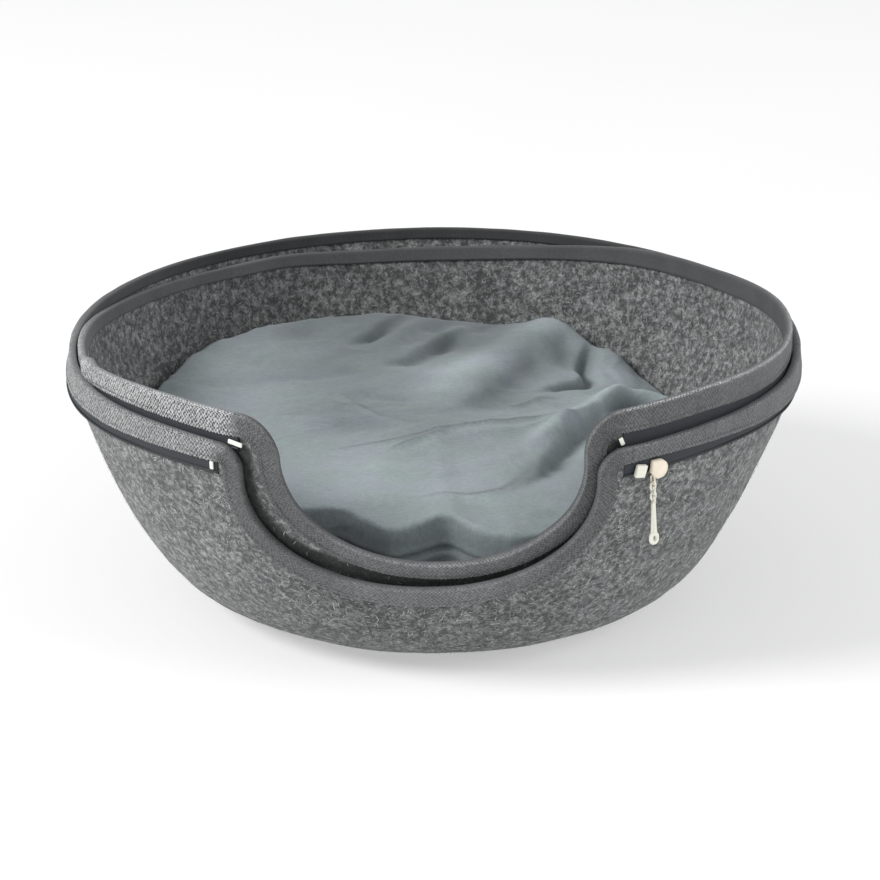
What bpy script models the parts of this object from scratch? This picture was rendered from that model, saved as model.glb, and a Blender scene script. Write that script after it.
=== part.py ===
"""Felt cat cave, unzipped and laid open as a bed.

Two domed felt halves, each with half of the round entrance cut out of its rim,
lie one inside the other. A woven tape is folded over each half's edge, a zip
tape is sewn below that, and a round filled cushion lies inside. The zip's
pin, stops, box and slider stay on the tapes, and the slider carries a short
chain and a pull.

Every cloth piece is laid out on one master surface, the outside of the outer
felt half. A place on it is an azimuth (0 at the front, which is -Y, and
positive towards +X), a distance along the meridian from the middle of the
base, and a depth below the surface. Lengths are in metres.
"""

import math

import bmesh
import bpy
import numpy as np
from mathutils import Matrix, Vector

NAME = "felt_cat_cave"

# Driving sizes of the cloth.
FELT = 0.0025
TAPE = 0.0009
GAP = 0.0003
FOLD = 0.0006
BASE_RADIUS = 0.1046
CENTRE_Y = -0.01105
OUTER_BAND = 0.0120
INNER_BAND = 0.0126
INNER_ZIP = 0.0080
OUTER_ZIP = 0.0056
STEP_DEG = 7.5

# Driving sizes of the zip's hard pieces.
PIN = (0.0096, 0.0028, 0.0013)
STOP = (0.0050, 0.0024, 0.0012)
BOX = (0.0068, 0.0078, 0.0030)
SLIDER = (0.0114, 0.0122, 0.0036)
WIRE = 0.00055
LINK = (0.0046, 0.0056)
PULL_LENGTH = 0.0296
PULL_LEAN_DEG = 3.0
PULL_WIDTH = 0.0031

# The meridian's slope, which changes evenly between rows.
MERIDIAN = [
    {"along": 0.0000, "slope_deg": 0.0},
    {"along": 0.1046, "slope_deg": 0.0},
    {"along": 0.1360, "slope_deg": 13.0},
    {"along": 0.1640, "slope_deg": 36.0},
    {"along": 0.1915, "slope_deg": 56.0},
    {"along": 0.2190, "slope_deg": 62.0},
    {"along": 0.2465, "slope_deg": 66.5},
    {"along": 0.2740, "slope_deg": 70.5},
    {"along": 0.3015, "slope_deg": 76.0},
    {"along": 0.3290, "slope_deg": 88.0},
    {"along": 0.4000, "slope_deg": 90.0},
]

# How far the wall bulges from round, at its belly and at its rim.
BULGE = [
    {"azimuth": -120, "belly": 0.0010, "rim": 0.0000},
    {"azimuth": -90, "belly": 0.0018, "rim": 0.0008},
    {"azimuth": -65, "belly": 0.0018, "rim": 0.0030},
    {"azimuth": -40, "belly": 0.0008, "rim": 0.0008},
    {"azimuth": 0, "belly": 0.0000, "rim": 0.0000},
    {"azimuth": 40, "belly": -0.0010, "rim": 0.0000},
    {"azimuth": 70, "belly": -0.0028, "rim": 0.0000},
    {"azimuth": 95, "belly": -0.0028, "rim": 0.0000},
    {"azimuth": 130, "belly": -0.0010, "rim": 0.0000},
    {"azimuth": 180, "belly": 0.0000, "rim": 0.0000},
]

# How far along the meridian each half's cut edge lies.
RIM = [
    {"azimuth": -180, "outer": 0.3277, "inner": 0.3148},
    {"azimuth": -165, "outer": 0.3270, "inner": 0.3142},
    {"azimuth": -152, "outer": 0.3272, "inner": 0.3170},
    {"azimuth": -140, "outer": 0.3275, "inner": 0.3168},
    {"azimuth": -115, "outer": 0.3284, "inner": 0.3208},
    {"azimuth": -95, "outer": 0.3283, "inner": 0.3276},
    {"azimuth": -75, "outer": 0.3268, "inner": 0.3326},
    {"azimuth": -60, "outer": 0.3262, "inner": 0.3402},
    {"azimuth": -45, "outer": 0.3266, "inner": 0.3440},
    {"azimuth": -30, "outer": 0.3262, "inner": 0.3440},
    {"azimuth": 30, "outer": 0.3262, "inner": 0.3477},
    {"azimuth": 45, "outer": 0.3275, "inner": 0.3483},
    {"azimuth": 60, "outer": 0.3258, "inner": 0.3449},
    {"azimuth": 75, "outer": 0.3243, "inner": 0.3406},
    {"azimuth": 100, "outer": 0.3290, "inner": 0.3374},
    {"azimuth": 120, "outer": 0.3279, "inner": 0.3318},
    {"azimuth": 141, "outer": 0.3275, "inner": 0.3286},
    {"azimuth": 150, "outer": 0.3278, "inner": 0.3248},
    {"azimuth": 160, "outer": 0.3280, "inner": 0.3200},
    {"azimuth": 170, "outer": 0.3279, "inner": 0.3165},
]

# Each half's share of the round entrance, at the felt's cut edge.
NOTCH = {
    "outer": {"middle_deg": -2.5, "lean_deg": 0.0, "bottom": 0.2332, "half_width": 0.1076, "rise": 0.0735, "corner": 0.0155},
    "inner": {"middle_deg": 0.5, "lean_deg": -1.3, "bottom": 0.2460, "half_width": 0.0937, "rise": 0.0720, "corner": 0.0200},
}

# Where the cushion's top edge turns over, by azimuth.
CUSHION_CREST = [
    {"azimuth": -180, "radius": 0.186, "height": 0.109},
    {"azimuth": -165, "radius": 0.188, "height": 0.114},
    {"azimuth": -145, "radius": 0.190, "height": 0.114},
    {"azimuth": -125, "radius": 0.193, "height": 0.112},
    {"azimuth": -109, "radius": 0.194, "height": 0.105},
    {"azimuth": -85, "radius": 0.190, "height": 0.098},
    {"azimuth": -55, "radius": 0.178, "height": 0.095},
    {"azimuth": -28, "radius": 0.163, "height": 0.095},
    {"azimuth": -8, "radius": 0.157, "height": 0.094},
    {"azimuth": 8, "radius": 0.157, "height": 0.096},
    {"azimuth": 28, "radius": 0.160, "height": 0.088},
    {"azimuth": 55, "radius": 0.174, "height": 0.082},
    {"azimuth": 85, "radius": 0.186, "height": 0.078},
    {"azimuth": 110, "radius": 0.191, "height": 0.077},
    {"azimuth": 130, "radius": 0.192, "height": 0.082},
    {"azimuth": 142, "radius": 0.191, "height": 0.096},
    {"azimuth": 152, "radius": 0.187, "height": 0.111},
    {"azimuth": 166, "radius": 0.186, "height": 0.106},
]
CUSHION_MIDDLE = 0.104
CUSHION_CLEAR = 0.0025
WALL_IN = 0.0010


def meridian_curve():
    """Finely spaced along, radius, height and slope of the master meridian."""
    along = np.linspace(0.0, MERIDIAN[-1]["along"], 801)
    slope = np.radians(
        np.interp(along, [row["along"] for row in MERIDIAN], [row["slope_deg"] for row in MERIDIAN])
    )
    middle = (slope[1:] + slope[:-1]) / 2
    step = along[1]
    radius = np.concatenate([[0.0], np.cumsum(np.cos(middle) * step)])
    height = np.concatenate([[0.0], np.cumsum(np.sin(middle) * step)])
    return along, radius, height, slope


ALONG, RADIUS, HEIGHT, SLOPE = meridian_curve()


def smooth_step(value):
    value = min(max(value, 0.0), 1.0)
    return value * value * (3 - 2 * value)


def bulge(azimuth, along):
    """How far the wall stands out from a round bowl."""
    azimuth_deg = math.degrees(azimuth)
    belly = smooth_step((along - 0.15) / 0.08) * smooth_step((0.325 - along) / 0.07)
    rim = smooth_step((along - 0.27) / 0.055)
    return belly * around(BULGE, "belly", azimuth_deg) + rim * around(BULGE, "rim", azimuth_deg)


def surface(azimuth, along, depth=0.0):
    """The point at an azimuth in radians, a distance along the meridian and a depth."""
    radius = np.interp(along, ALONG, RADIUS) + bulge(azimuth, along)
    height = np.interp(along, ALONG, HEIGHT)
    slope = np.interp(along, ALONG, SLOPE)
    radius = radius - depth * math.sin(slope)
    height = height + depth * math.cos(slope)
    return Vector((radius * math.sin(azimuth), CENTRE_Y - radius * math.cos(azimuth), height))


def radius_at(along):
    return float(np.interp(along, ALONG, RADIUS))


def around(rows, column, azimuth_deg):
    """Smooth periodic reading of a table's column at an azimuth in degrees."""
    turn = (azimuth_deg + 180.0) % 360.0 - 180.0
    count = len(rows)
    before = max([i for i in range(count) if rows[i]["azimuth"] <= turn], default=count - 1)
    x = [rows[(before + k) % count]["azimuth"] for k in (-1, 0, 1, 2)]
    y = [rows[(before + k) % count][column] for k in (-1, 0, 1, 2)]
    if x[1] > turn:
        x[1] -= 360
    while x[0] >= x[1]:
        x[0] -= 360
    while x[2] <= x[1]:
        x[2] += 360
    while x[2] > x[1] + 360:
        x[2] -= 360
    while x[3] <= x[2]:
        x[3] += 360
    while x[3] > x[2] + 360:
        x[3] -= 360
    span = x[2] - x[1]
    into = (y[2] - y[0]) / (x[2] - x[0]) * span
    out = (y[3] - y[1]) / (x[3] - x[1]) * span
    t = (turn - x[1]) / span
    return (
        (2 * t**3 - 3 * t**2 + 1) * y[1]
        + (t**3 - 2 * t**2 + t) * into
        + (3 * t**2 - 2 * t**3) * y[2]
        + (t**3 - t**2) * out
    )


def felt_depth(half, along):
    """Depth of a half's outside: the inner half rests on the outer one's base and stands off its wall."""
    if half == "outer":
        return 0.0
    lie, stand = FELT + 0.0005, FELT + 2 * GAP + 2 * TAPE + 0.0008
    t = min(max((along - BASE_RADIUS) / 0.040, 0.0), 1.0)
    return lie + (stand - lie) * (1 - (1 - t) ** 2)


def notch_middle(half, along):
    """Azimuth of the entrance's middle line, which leans a little on the inner half."""
    form = NOTCH[half]
    share = min(max((along - form["bottom"]) / (form["rise"] + 0.02), 0.0), 1.0)
    return math.radians(form["middle_deg"] + form["lean_deg"] * share)


def edge_columns(half):
    """The felt's cut edge as (azimuth, along, on the rim, way into the felt), once round from the right corner."""
    form = NOTCH[half]

    def place(offset, along):
        return notch_middle(half, along) + offset / radius_at(along), along

    columns = []
    ends = []
    for side in (1, -1):
        reach = form["half_width"] + form["corner"]
        guess = math.degrees(notch_middle(half, 0.33) + side * reach / radius_at(0.33))
        top = around(RIM, half, guess)
        ends.append((math.degrees(place(side * reach, top)[0]), top))
    (right_end, right_top), (left_end, left_top) = ends
    rim = [right_end]
    step = math.ceil((right_end + 2.5) / STEP_DEG) * STEP_DEG
    while step < left_end + 360 - 2.5:
        rim.append(step)
        step += STEP_DEG
    rim.append(left_end + 360)
    for azimuth in rim:
        columns.append((math.radians(azimuth), around(RIM, half, azimuth), True, Vector((0.0, -1.0))))

    def corner(side, top):
        found = []
        for turn in (22.5, 45.0, 67.5):
            offset = form["half_width"] + form["corner"] * (1 - math.sin(math.radians(turn)))
            along = top - form["corner"] * (1 - math.cos(math.radians(turn)))
            way = Vector((side * math.sin(math.radians(turn)), -math.cos(math.radians(turn))))
            found.append((*place(side * offset, along), way))
        found.append((*place(side * form["half_width"], top - form["corner"]), Vector((side, 0.0))))
        return found

    def wall(side, top):
        low = form["bottom"] + form["rise"]
        high = top - form["corner"]
        middle = (*place(side * form["half_width"], (low + high) / 2), Vector((side, 0.0)))
        return [middle] if high - low > 0.008 else []

    bottom = []
    count = 17
    for i in range(count):
        turn = math.radians(-90 + 180 * i / (count - 1))
        offset = form["half_width"] * math.copysign(abs(math.sin(turn)) ** (2 / 2.1), math.sin(turn))
        along = form["bottom"] + form["rise"] * (1 - abs(math.cos(turn)) ** (2 / 2.1))
        way = Vector((math.copysign(1.0, turn), 0.0)) if i in (0, count - 1) else None
        bottom.append((*place(offset, along), way))
    notch = corner(-1, left_top) + wall(-1, left_top) + bottom + wall(1, right_top) + corner(1, right_top)[::-1]
    for azimuth, along, way in notch:
        columns.append((azimuth + 2 * math.pi, along, False, way))
    return columns


def inward(columns):
    """For each column of a closed edge, the unit direction in the surface that points into the felt."""
    count = len(columns)
    found = []
    for i in range(count):
        before, here, after = columns[i - 1], columns[i], columns[(i + 1) % count]
        if here[3]:
            found.append(here[3])
            continue
        run = Vector(((after[0] - before[0]) * radius_at(here[1]), after[1] - before[1])).normalized()
        found.append(Vector((run.y, -run.x)))
    return found


def step_in(column, direction, distance):
    """The (azimuth, along) reached by going a distance from a column's edge into the felt."""
    azimuth, along = column[0], column[1]
    for _ in range(4):
        azimuth += direction.x * distance / 4 / radius_at(along)
        along += direction.y * distance / 4
    return azimuth, along


def new_object(name, mesh, colour, roughness, metallic=0.0):
    material = bpy.data.materials.new(name)
    material.use_nodes = True
    shader = material.node_tree.nodes["Principled BSDF"]
    shader.inputs["Base Color"].default_value = (*colour, 1.0)
    shader.inputs["Roughness"].default_value = roughness
    shader.inputs["Metallic"].default_value = metallic
    mesh.materials.append(material)
    mesh.shade_smooth()
    mesh.set_sharp_from_angle(angle=math.radians(35))
    made = bpy.data.objects.new(name, mesh)
    PARTS.objects.link(made)
    return made


def mesh_of(name, build):
    """A mesh from a bmesh that the given function fills."""
    grid = bmesh.new()
    build(grid)
    mesh = bpy.data.meshes.new(name)
    grid.normal_update()
    grid.to_mesh(mesh)
    grid.free()
    return mesh


def skin(grid, rows, closed):
    """Quads between neighbouring rows of vertices, each row going the same way."""
    count = len(rows[0])
    for low, high in zip(rows, rows[1:]):
        for i in range(count if closed else count - 1):
            j = (i + 1) % count
            grid.faces.new((low[i], low[j], high[j], high[i]))


def thicken(made, thickness):
    """A sheet's thickness, laid inwards from its outer face."""
    solid = made.modifiers.new("thickness", "SOLIDIFY")
    solid.thickness = thickness
    solid.offset = -1.0
    solid.use_even_offset = True


def base_azimuths(half, columns, directions):
    """Where each column's line leaves the flat base, fanned out below the entrance."""
    count = len(columns)
    rim = [i for i in range(count) if columns[i][2]]
    right, left = columns[rim[0]][0], columns[rim[-1]][0]
    fan = math.radians(46.0)
    middle = notch_middle(half, 0.0)
    found = [0.0] * count
    for i in rim:
        share = (columns[i][0] - right) / (left - right)
        found[i] = middle + fan + (2 * math.pi - 2 * fan) * share
    notch = list(range(rim[-1], count)) + [rim[0]]
    places = []
    for i in notch:
        azimuth, along = step_in(columns[i], directions[i], 0.010)
        places.append(surface(azimuth, along))
    lengths = [0.0]
    for start, end in zip(places, places[1:]):
        lengths.append(lengths[-1] + (end - start).length)
    for i, length in zip(notch[:-1], lengths):
        found[i] = middle + 2 * math.pi - fan + 2 * fan * length / lengths[-1]
    return found


def felt_half(half):
    """One domed felt half: a flat round base, curved wall and the edge that the rim and notch give it."""
    columns = edge_columns(half)
    directions = inward(columns)
    base = base_azimuths(half, columns, directions)
    band = OUTER_BAND if half == "outer" else INNER_BAND
    shares = (0.0, 0.10, 0.22, 0.36, 0.52, 0.69, 0.85)

    def build(grid):
        rows = [[] for _ in range(len(shares) + 2)]
        for column, direction, foot in zip(columns, directions, base):
            bound = step_in(column, direction, band)
            turn = bound[0]
            while turn - foot > math.pi:
                turn -= 2 * math.pi
            while turn - foot < -math.pi:
                turn += 2 * math.pi
            for row, share in zip(rows, shares):
                along = BASE_RADIUS + (bound[1] - BASE_RADIUS) * share
                azimuth = foot + (turn - foot) * share
                row.append(grid.verts.new(surface(azimuth, along, felt_depth(half, along))))
            for row, (azimuth, along) in zip(rows[-2:], (bound, column[:2])):
                row.append(grid.verts.new(surface(azimuth, along, felt_depth(half, along))))
        centre = grid.verts.new(surface(0.0, 0.0, felt_depth(half, 0.0)))
        count = len(columns)
        for i in range(count):
            grid.faces.new((centre, rows[0][(i + 1) % count], rows[0][i]))
        skin(grid, rows, True)

    mesh = mesh_of(f"{half}_shell", build)
    made = new_object(f"{half}_shell", mesh, FELT_COLOUR, 0.95)
    thicken(made, FELT)
    return made


def binding(half):
    """A woven tape folded over the whole edge of a half."""
    columns = edge_columns(half)
    directions = inward(columns)
    band = OUTER_BAND if half == "outer" else INNER_BAND
    out = -(GAP + TAPE)
    through = FELT + GAP + TAPE
    section = [
        {"in": band, "depth": out},
        {"in": -FOLD, "depth": out},
        {"in": out, "depth": out + 0.0008},
        {"in": out, "depth": through - 0.0008},
        {"in": -FOLD, "depth": through},
        {"in": band, "depth": through},
    ]

    def build(grid):
        rows = []
        for point in section:
            row = []
            for column, direction in zip(columns, directions):
                azimuth, along = step_in(column, direction, point["in"])
                depth = felt_depth(half, along) + point["depth"]
                row.append(grid.verts.new(surface(azimuth, along, depth)))
            rows.append(row)
        skin(grid, rows, True)

    mesh = mesh_of(f"{half}_binding", build)
    made = new_object(f"{half}_binding", mesh, BINDING_COLOUR, 0.85)
    thicken(made, TAPE)
    return made


def zip_tape(half):
    """The half's zip tape, from corner to corner round the back, below the binding."""
    columns = edge_columns(half)
    directions = inward(columns)
    band, width = (OUTER_BAND, OUTER_ZIP) if half == "outer" else (INNER_BAND, INNER_ZIP)
    out = -(GAP + TAPE)

    def build(grid):
        rows = []
        for distance in (band + 0.0004 + width, band + 0.0004):
            row = []
            for column, direction in zip(columns, directions):
                if column[2]:
                    azimuth, along = step_in(column, Vector((0.0, -1.0)), distance)
                    row.append(grid.verts.new(surface(azimuth, along, felt_depth(half, along) + out)))
            rows.append(row)
        skin(grid, rows, False)

    mesh = mesh_of(f"{half}_zip_tape", build)
    made = new_object(f"{half}_zip_tape", mesh, ZIP_COLOUR, 0.8)
    thicken(made, TAPE)
    return made


def wall_radius(height):
    """Radius of the inner half's inside at a height."""
    depth = felt_depth("inner", 0.33) + FELT
    heights = HEIGHT + depth * np.cos(SLOPE)
    radii = RADIUS - depth * np.sin(SLOPE)
    risen = np.nonzero(SLOPE > 0.02)[0]
    return float(np.interp(height, heights[risen], radii[risen])) - WALL_IN


def cushion():
    """The filled cushion: flat on the base, its sides against the wall, drawn in above its seam to a crowned top."""
    floor = FELT + 0.0005 + FELT + GAP
    sides = 36

    def profile(azimuth_deg):
        crest = around(CUSHION_CREST, "radius", azimuth_deg)
        height = around(CUSHION_CREST, "height", azimuth_deg)
        seam = 0.62 * height
        wide = min(wall_radius(seam) - CUSHION_CLEAR, crest + 0.014)
        found = [(0.050, floor), (0.096, floor)]
        for level in (0.014, 0.026, 0.042):
            found.append((min(wall_radius(level) - CUSHION_CLEAR, wide), level))
        for turn in (0, 30, 60, 90):
            share = math.radians(turn)
            found.append((crest + (wide - crest) * math.cos(share), seam + (height - seam) * math.sin(share)))
        for share in (0.93, 0.78, 0.54, 0.27):
            found.append((share * crest, height + (CUSHION_MIDDLE - height) * (1 - share**2) + 0.002 * (1 - share)))
        return found

    def build(grid):
        rows = [[] for _ in profile(0.0)]
        for i in range(sides):
            azimuth_deg = 360.0 * i / sides - 180.0
            azimuth = math.radians(azimuth_deg)
            for row, (radius, level) in zip(rows, profile(azimuth_deg)):
                row.append(grid.verts.new((radius * math.sin(azimuth), CENTRE_Y - radius * math.cos(azimuth), level)))
        skin(grid, rows, True)
        under = grid.verts.new((0.0, CENTRE_Y, floor))
        over = grid.verts.new((0.0, CENTRE_Y, CUSHION_MIDDLE + 0.002))
        for i in range(sides):
            j = (i + 1) % sides
            grid.faces.new((under, rows[0][j], rows[0][i]))
            grid.faces.new((over, rows[-1][i], rows[-1][j]))
        bmesh.ops.recalc_face_normals(grid, faces=grid.faces)

    return new_object("cushion", mesh_of("cushion", build), CUSHION_COLOUR, 0.8)


def stance(azimuth_deg, along, depth, turn_deg=0.0):
    """A frame on a half's outside: X along the rim, Y up the wall and Z out of it, turned about Z."""
    azimuth = math.radians(azimuth_deg)
    here = surface(azimuth, along, depth)
    up = (surface(azimuth, along + 0.004, depth) - here).normalized()
    side = Vector((math.cos(azimuth), math.sin(azimuth), 0.0))
    out = side.cross(up).normalized()
    frame = Matrix((side, up, out)).transposed().to_4x4()
    return Matrix.Translation(here) @ frame @ Matrix.Rotation(math.radians(turn_deg), 4, "Z")


def plate(name, size, place, round_by, metallic=0.0):
    """A small rounded bar, its back face at the given place."""

    def build(grid):
        bmesh.ops.create_cube(grid, size=1.0)
        bmesh.ops.scale(grid, vec=size, verts=grid.verts)
        bmesh.ops.translate(grid, vec=(0.0, 0.0, size[2] / 2), verts=grid.verts)
        bmesh.ops.bevel(grid, geom=grid.edges[:], offset=round_by, segments=2, affect="EDGES", profile=0.5)

    made = new_object(name, mesh_of(name, build), METAL_COLOUR, 0.4, metallic)
    made.matrix_world = place
    return made


def ring_mesh(name, width, length, wire, around_count=16, wire_count=8):
    """A wire link, round at both ends, in the XZ plane, longer along Z."""

    def build(grid):
        rows = []
        bend = (width - 2 * wire) / 2
        straight = (length - width) / 2
        for i in range(around_count):
            turn = 2 * math.pi * i / around_count
            centre = Vector((bend * math.cos(turn), 0.0, bend * math.sin(turn) + math.copysign(straight, math.sin(turn + 1e-6))))
            out = Vector((math.cos(turn), 0.0, math.sin(turn)))
            row = []
            for k in range(wire_count):
                lean = 2 * math.pi * k / wire_count
                row.append(grid.verts.new(centre + wire * (math.cos(lean) * out + math.sin(lean) * Vector((0.0, 1.0, 0.0)))))
            rows.append(row)
        skin(grid, rows + [rows[0]], True)
        bmesh.ops.recalc_face_normals(grid, faces=grid.faces)

    return mesh_of(name, build)


def joined(made, others):
    """A Boolean union of a piece with its helpers, which are left out of the model."""
    for i, other in enumerate(others):
        union = made.modifiers.new(f"join_{i}", "BOOLEAN")
        union.operation = "UNION"
        union.object = other
        other.hide_render = True
        other.display_type = "WIRE"


def helper(name, mesh, place):
    made = bpy.data.objects.new(name, mesh)
    CUTTERS.objects.link(made)
    made.matrix_world = place
    return made


def zip_slider():
    """The slider's shield-shaped body, with an eye below it for the chain."""
    wide, high, deep = SLIDER
    place = stance(34.2, 0.3112, -(2 * GAP + TAPE))
    outline = [(-wide / 2, high / 2), (-wide / 2, -high * 0.14), (-wide * 0.10, -high / 2), (wide * 0.22, -high * 0.46)]
    for i in range(7):
        turn = math.radians(-50 + 130 * i / 6)
        outline.append((wide * (-0.02 + 0.52 * math.cos(turn)), high * (-0.02 + 0.52 * math.sin(turn))))

    def build(grid):
        face = grid.faces.new([grid.verts.new((x, y, 0.0)) for x, y in outline])
        lifted = bmesh.ops.extrude_face_region(grid, geom=[face])
        bmesh.ops.translate(grid, vec=(0.0, 0.0, deep), verts=[v for v in lifted["geom"] if isinstance(v, bmesh.types.BMVert)])
        bmesh.ops.recalc_face_normals(grid, faces=grid.faces)
        bmesh.ops.bevel(grid, geom=grid.edges[:], offset=0.0005, segments=1, affect="EDGES", profile=0.5)

    made = new_object("zip_slider", mesh_of("zip_slider", build), SLIDER_COLOUR, 0.4, 0.1)
    made.matrix_world = place
    return made, place


def zip_pull():
    """The chain of three links and the pull bar, which hang plumb from the slider's eye."""
    slider, place = zip_slider()
    wide, high, deep = SLIDER
    eye_length = 0.0068
    eye_centre = place @ Vector((-wide * 0.30, -high * 0.55, deep * 0.55))
    facing = math.radians(34.0)
    lean = Matrix.Rotation(math.radians(-PULL_LEAN_DEG), 4, "Y")
    plumb = Matrix.Translation(eye_centre) @ Matrix.Rotation(facing, 4, "Z") @ lean
    across = plumb @ Matrix.Rotation(math.radians(90), 4, "Z")
    eye = helper("slider_eye", ring_mesh("slider_eye", 0.0046, eye_length, WIRE), across)
    joined(slider, [eye])
    pitch = LINK[1] - 4 * WIRE - GAP
    drop = (eye_length + LINK[1]) / 2 - 4 * WIRE - GAP
    turns = (0.0, 90.0, 0.0)
    for i, turn in enumerate(turns):
        name = f"chain_link_{i + 1}"
        made = new_object(name, ring_mesh(name, LINK[0], LINK[1], WIRE), METAL_COLOUR, 0.35, 0.2)
        made.matrix_world = plumb @ Matrix.Translation((0.0, 0.0, -drop - i * pitch)) @ Matrix.Rotation(math.radians(turn), 4, "Z")
    top = -drop - 2 * pitch - LINK[1] / 2 + 2 * WIRE + GAP
    neck = 0.0044
    bar_eye = helper("pull_eye", ring_mesh("pull_eye", 0.0040, neck, WIRE), across @ Matrix.Translation((0.0, 0.0, top + 2 * WIRE - neck / 2)))
    tip = helper(
        "pull_tip",
        ring_mesh("pull_tip", 0.0066, 0.0082, 0.00125),
        plumb @ Matrix.Translation((0.0, 0.0, top - PULL_LENGTH + 0.0041)),
    )
    start = top + 2 * WIRE - neck + 0.0003
    end = top - PULL_LENGTH + 0.0078

    def build(grid):
        bmesh.ops.create_cone(grid, cap_ends=True, segments=12, radius1=PULL_WIDTH * 0.62, radius2=PULL_WIDTH * 0.46, depth=start - end)
        bmesh.ops.scale(grid, vec=(1.0, 0.66, 1.0), verts=grid.verts)

    made = new_object("pull_bar", mesh_of("pull_bar", build), METAL_COLOUR, 0.35, 0.2)
    made.matrix_world = plumb @ Matrix.Translation((0.0, 0.0, (start + end) / 2))
    joined(made, [bar_eye, tip])


for leftover in list(bpy.data.objects):
    bpy.data.objects.remove(leftover)

PARTS = bpy.data.collections.new(NAME)
CUTTERS = bpy.data.collections.new("cutters")
bpy.context.scene.collection.children.link(PARTS)
bpy.context.scene.collection.children.link(CUTTERS)

FELT_COLOUR = (0.075, 0.077, 0.080)
BINDING_COLOUR = (0.16, 0.165, 0.17)
ZIP_COLOUR = (0.022, 0.024, 0.028)
CUSHION_COLOUR = (0.20, 0.245, 0.265)
METAL_COLOUR = (0.75, 0.75, 0.68)
SLIDER_COLOUR = (0.85, 0.78, 0.68)

for one in ("outer", "inner"):
    felt_half(one)
    binding(one)
    zip_tape(one)
cushion()

lift = -(2 * GAP + TAPE)
inner_stand = felt_depth("inner", 0.33)
plate("zip_pin", PIN, stance(-30.8, 0.3274, inner_stand + lift, -8), 0.0005)
plate("zip_stop_left", (STOP[1], STOP[0], STOP[2]), stance(-34.35, 0.3128, lift, -4), 0.0004)
plate("zip_stop_right", (STOP[1] * 1.1, STOP[0], STOP[2]), stance(28.4, 0.3303, inner_stand + lift, 24), 0.0004)
plate("zip_box", BOX, stance(31.0, 0.3122, lift, -10), 0.0006)
zip_pull()
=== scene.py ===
"""The looks of the felt cat cave, opened and nested as a bed.

Two felt bowls lie one inside the other, each with a woven tape folded over its
edge and its half of the zip sewn below that. A filled cushion lies inside, and
the zip's pin, stops, box, slider, chain and pull stay on the tapes.

Every cloth piece is laid out on the outer bowl's outside. A place on it is an
azimuth (0 at the front, which is -Y, positive towards +X), a distance along
the meridian from the middle of the base, and a depth below the surface.
Lengths are in metres.
"""

import math

import bmesh
import bpy
import numpy as np
from mathutils import Matrix, Vector


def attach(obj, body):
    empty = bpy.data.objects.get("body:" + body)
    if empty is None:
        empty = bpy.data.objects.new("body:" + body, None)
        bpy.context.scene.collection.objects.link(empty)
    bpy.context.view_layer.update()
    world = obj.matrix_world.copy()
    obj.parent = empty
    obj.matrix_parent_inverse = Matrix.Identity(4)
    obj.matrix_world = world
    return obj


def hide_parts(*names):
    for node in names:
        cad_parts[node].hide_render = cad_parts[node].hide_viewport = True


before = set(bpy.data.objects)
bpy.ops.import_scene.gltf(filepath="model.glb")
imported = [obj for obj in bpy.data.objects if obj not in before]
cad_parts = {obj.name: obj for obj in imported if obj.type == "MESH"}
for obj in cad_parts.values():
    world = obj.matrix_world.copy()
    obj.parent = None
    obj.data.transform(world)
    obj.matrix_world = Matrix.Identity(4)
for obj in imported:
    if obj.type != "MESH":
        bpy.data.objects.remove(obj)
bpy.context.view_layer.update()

# ---------------------------------------------------------------- sizes

FELT = 0.0025
TAPE = 0.0009
GAP = 0.0003
BASE_RADIUS = 0.1046
CENTRE_Y = -0.01105
WEAVE = 0.0024
ROW = 0.00150

MERIDIAN = [
    {"along": 0.0000, "slope_deg": 0.0},
    {"along": 0.1046, "slope_deg": 0.0},
    {"along": 0.1360, "slope_deg": 13.0},
    {"along": 0.1640, "slope_deg": 36.0},
    {"along": 0.1915, "slope_deg": 56.0},
    {"along": 0.2190, "slope_deg": 62.0},
    {"along": 0.2465, "slope_deg": 66.5},
    {"along": 0.2740, "slope_deg": 70.5},
    {"along": 0.3015, "slope_deg": 76.0},
    {"along": 0.3290, "slope_deg": 88.0},
    {"along": 0.4000, "slope_deg": 90.0},
]

BULGE = [
    {"azimuth": -120, "belly": 0.0010, "rim": 0.0000},
    {"azimuth": -90, "belly": 0.0018, "rim": 0.0008},
    {"azimuth": -65, "belly": 0.0018, "rim": 0.0030},
    {"azimuth": -40, "belly": 0.0008, "rim": 0.0008},
    {"azimuth": 0, "belly": 0.0000, "rim": 0.0000},
    {"azimuth": 40, "belly": -0.0010, "rim": 0.0000},
    {"azimuth": 70, "belly": -0.0028, "rim": 0.0000},
    {"azimuth": 95, "belly": -0.0028, "rim": 0.0000},
    {"azimuth": 130, "belly": -0.0010, "rim": 0.0000},
    {"azimuth": 180, "belly": 0.0000, "rim": 0.0000},
]

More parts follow.
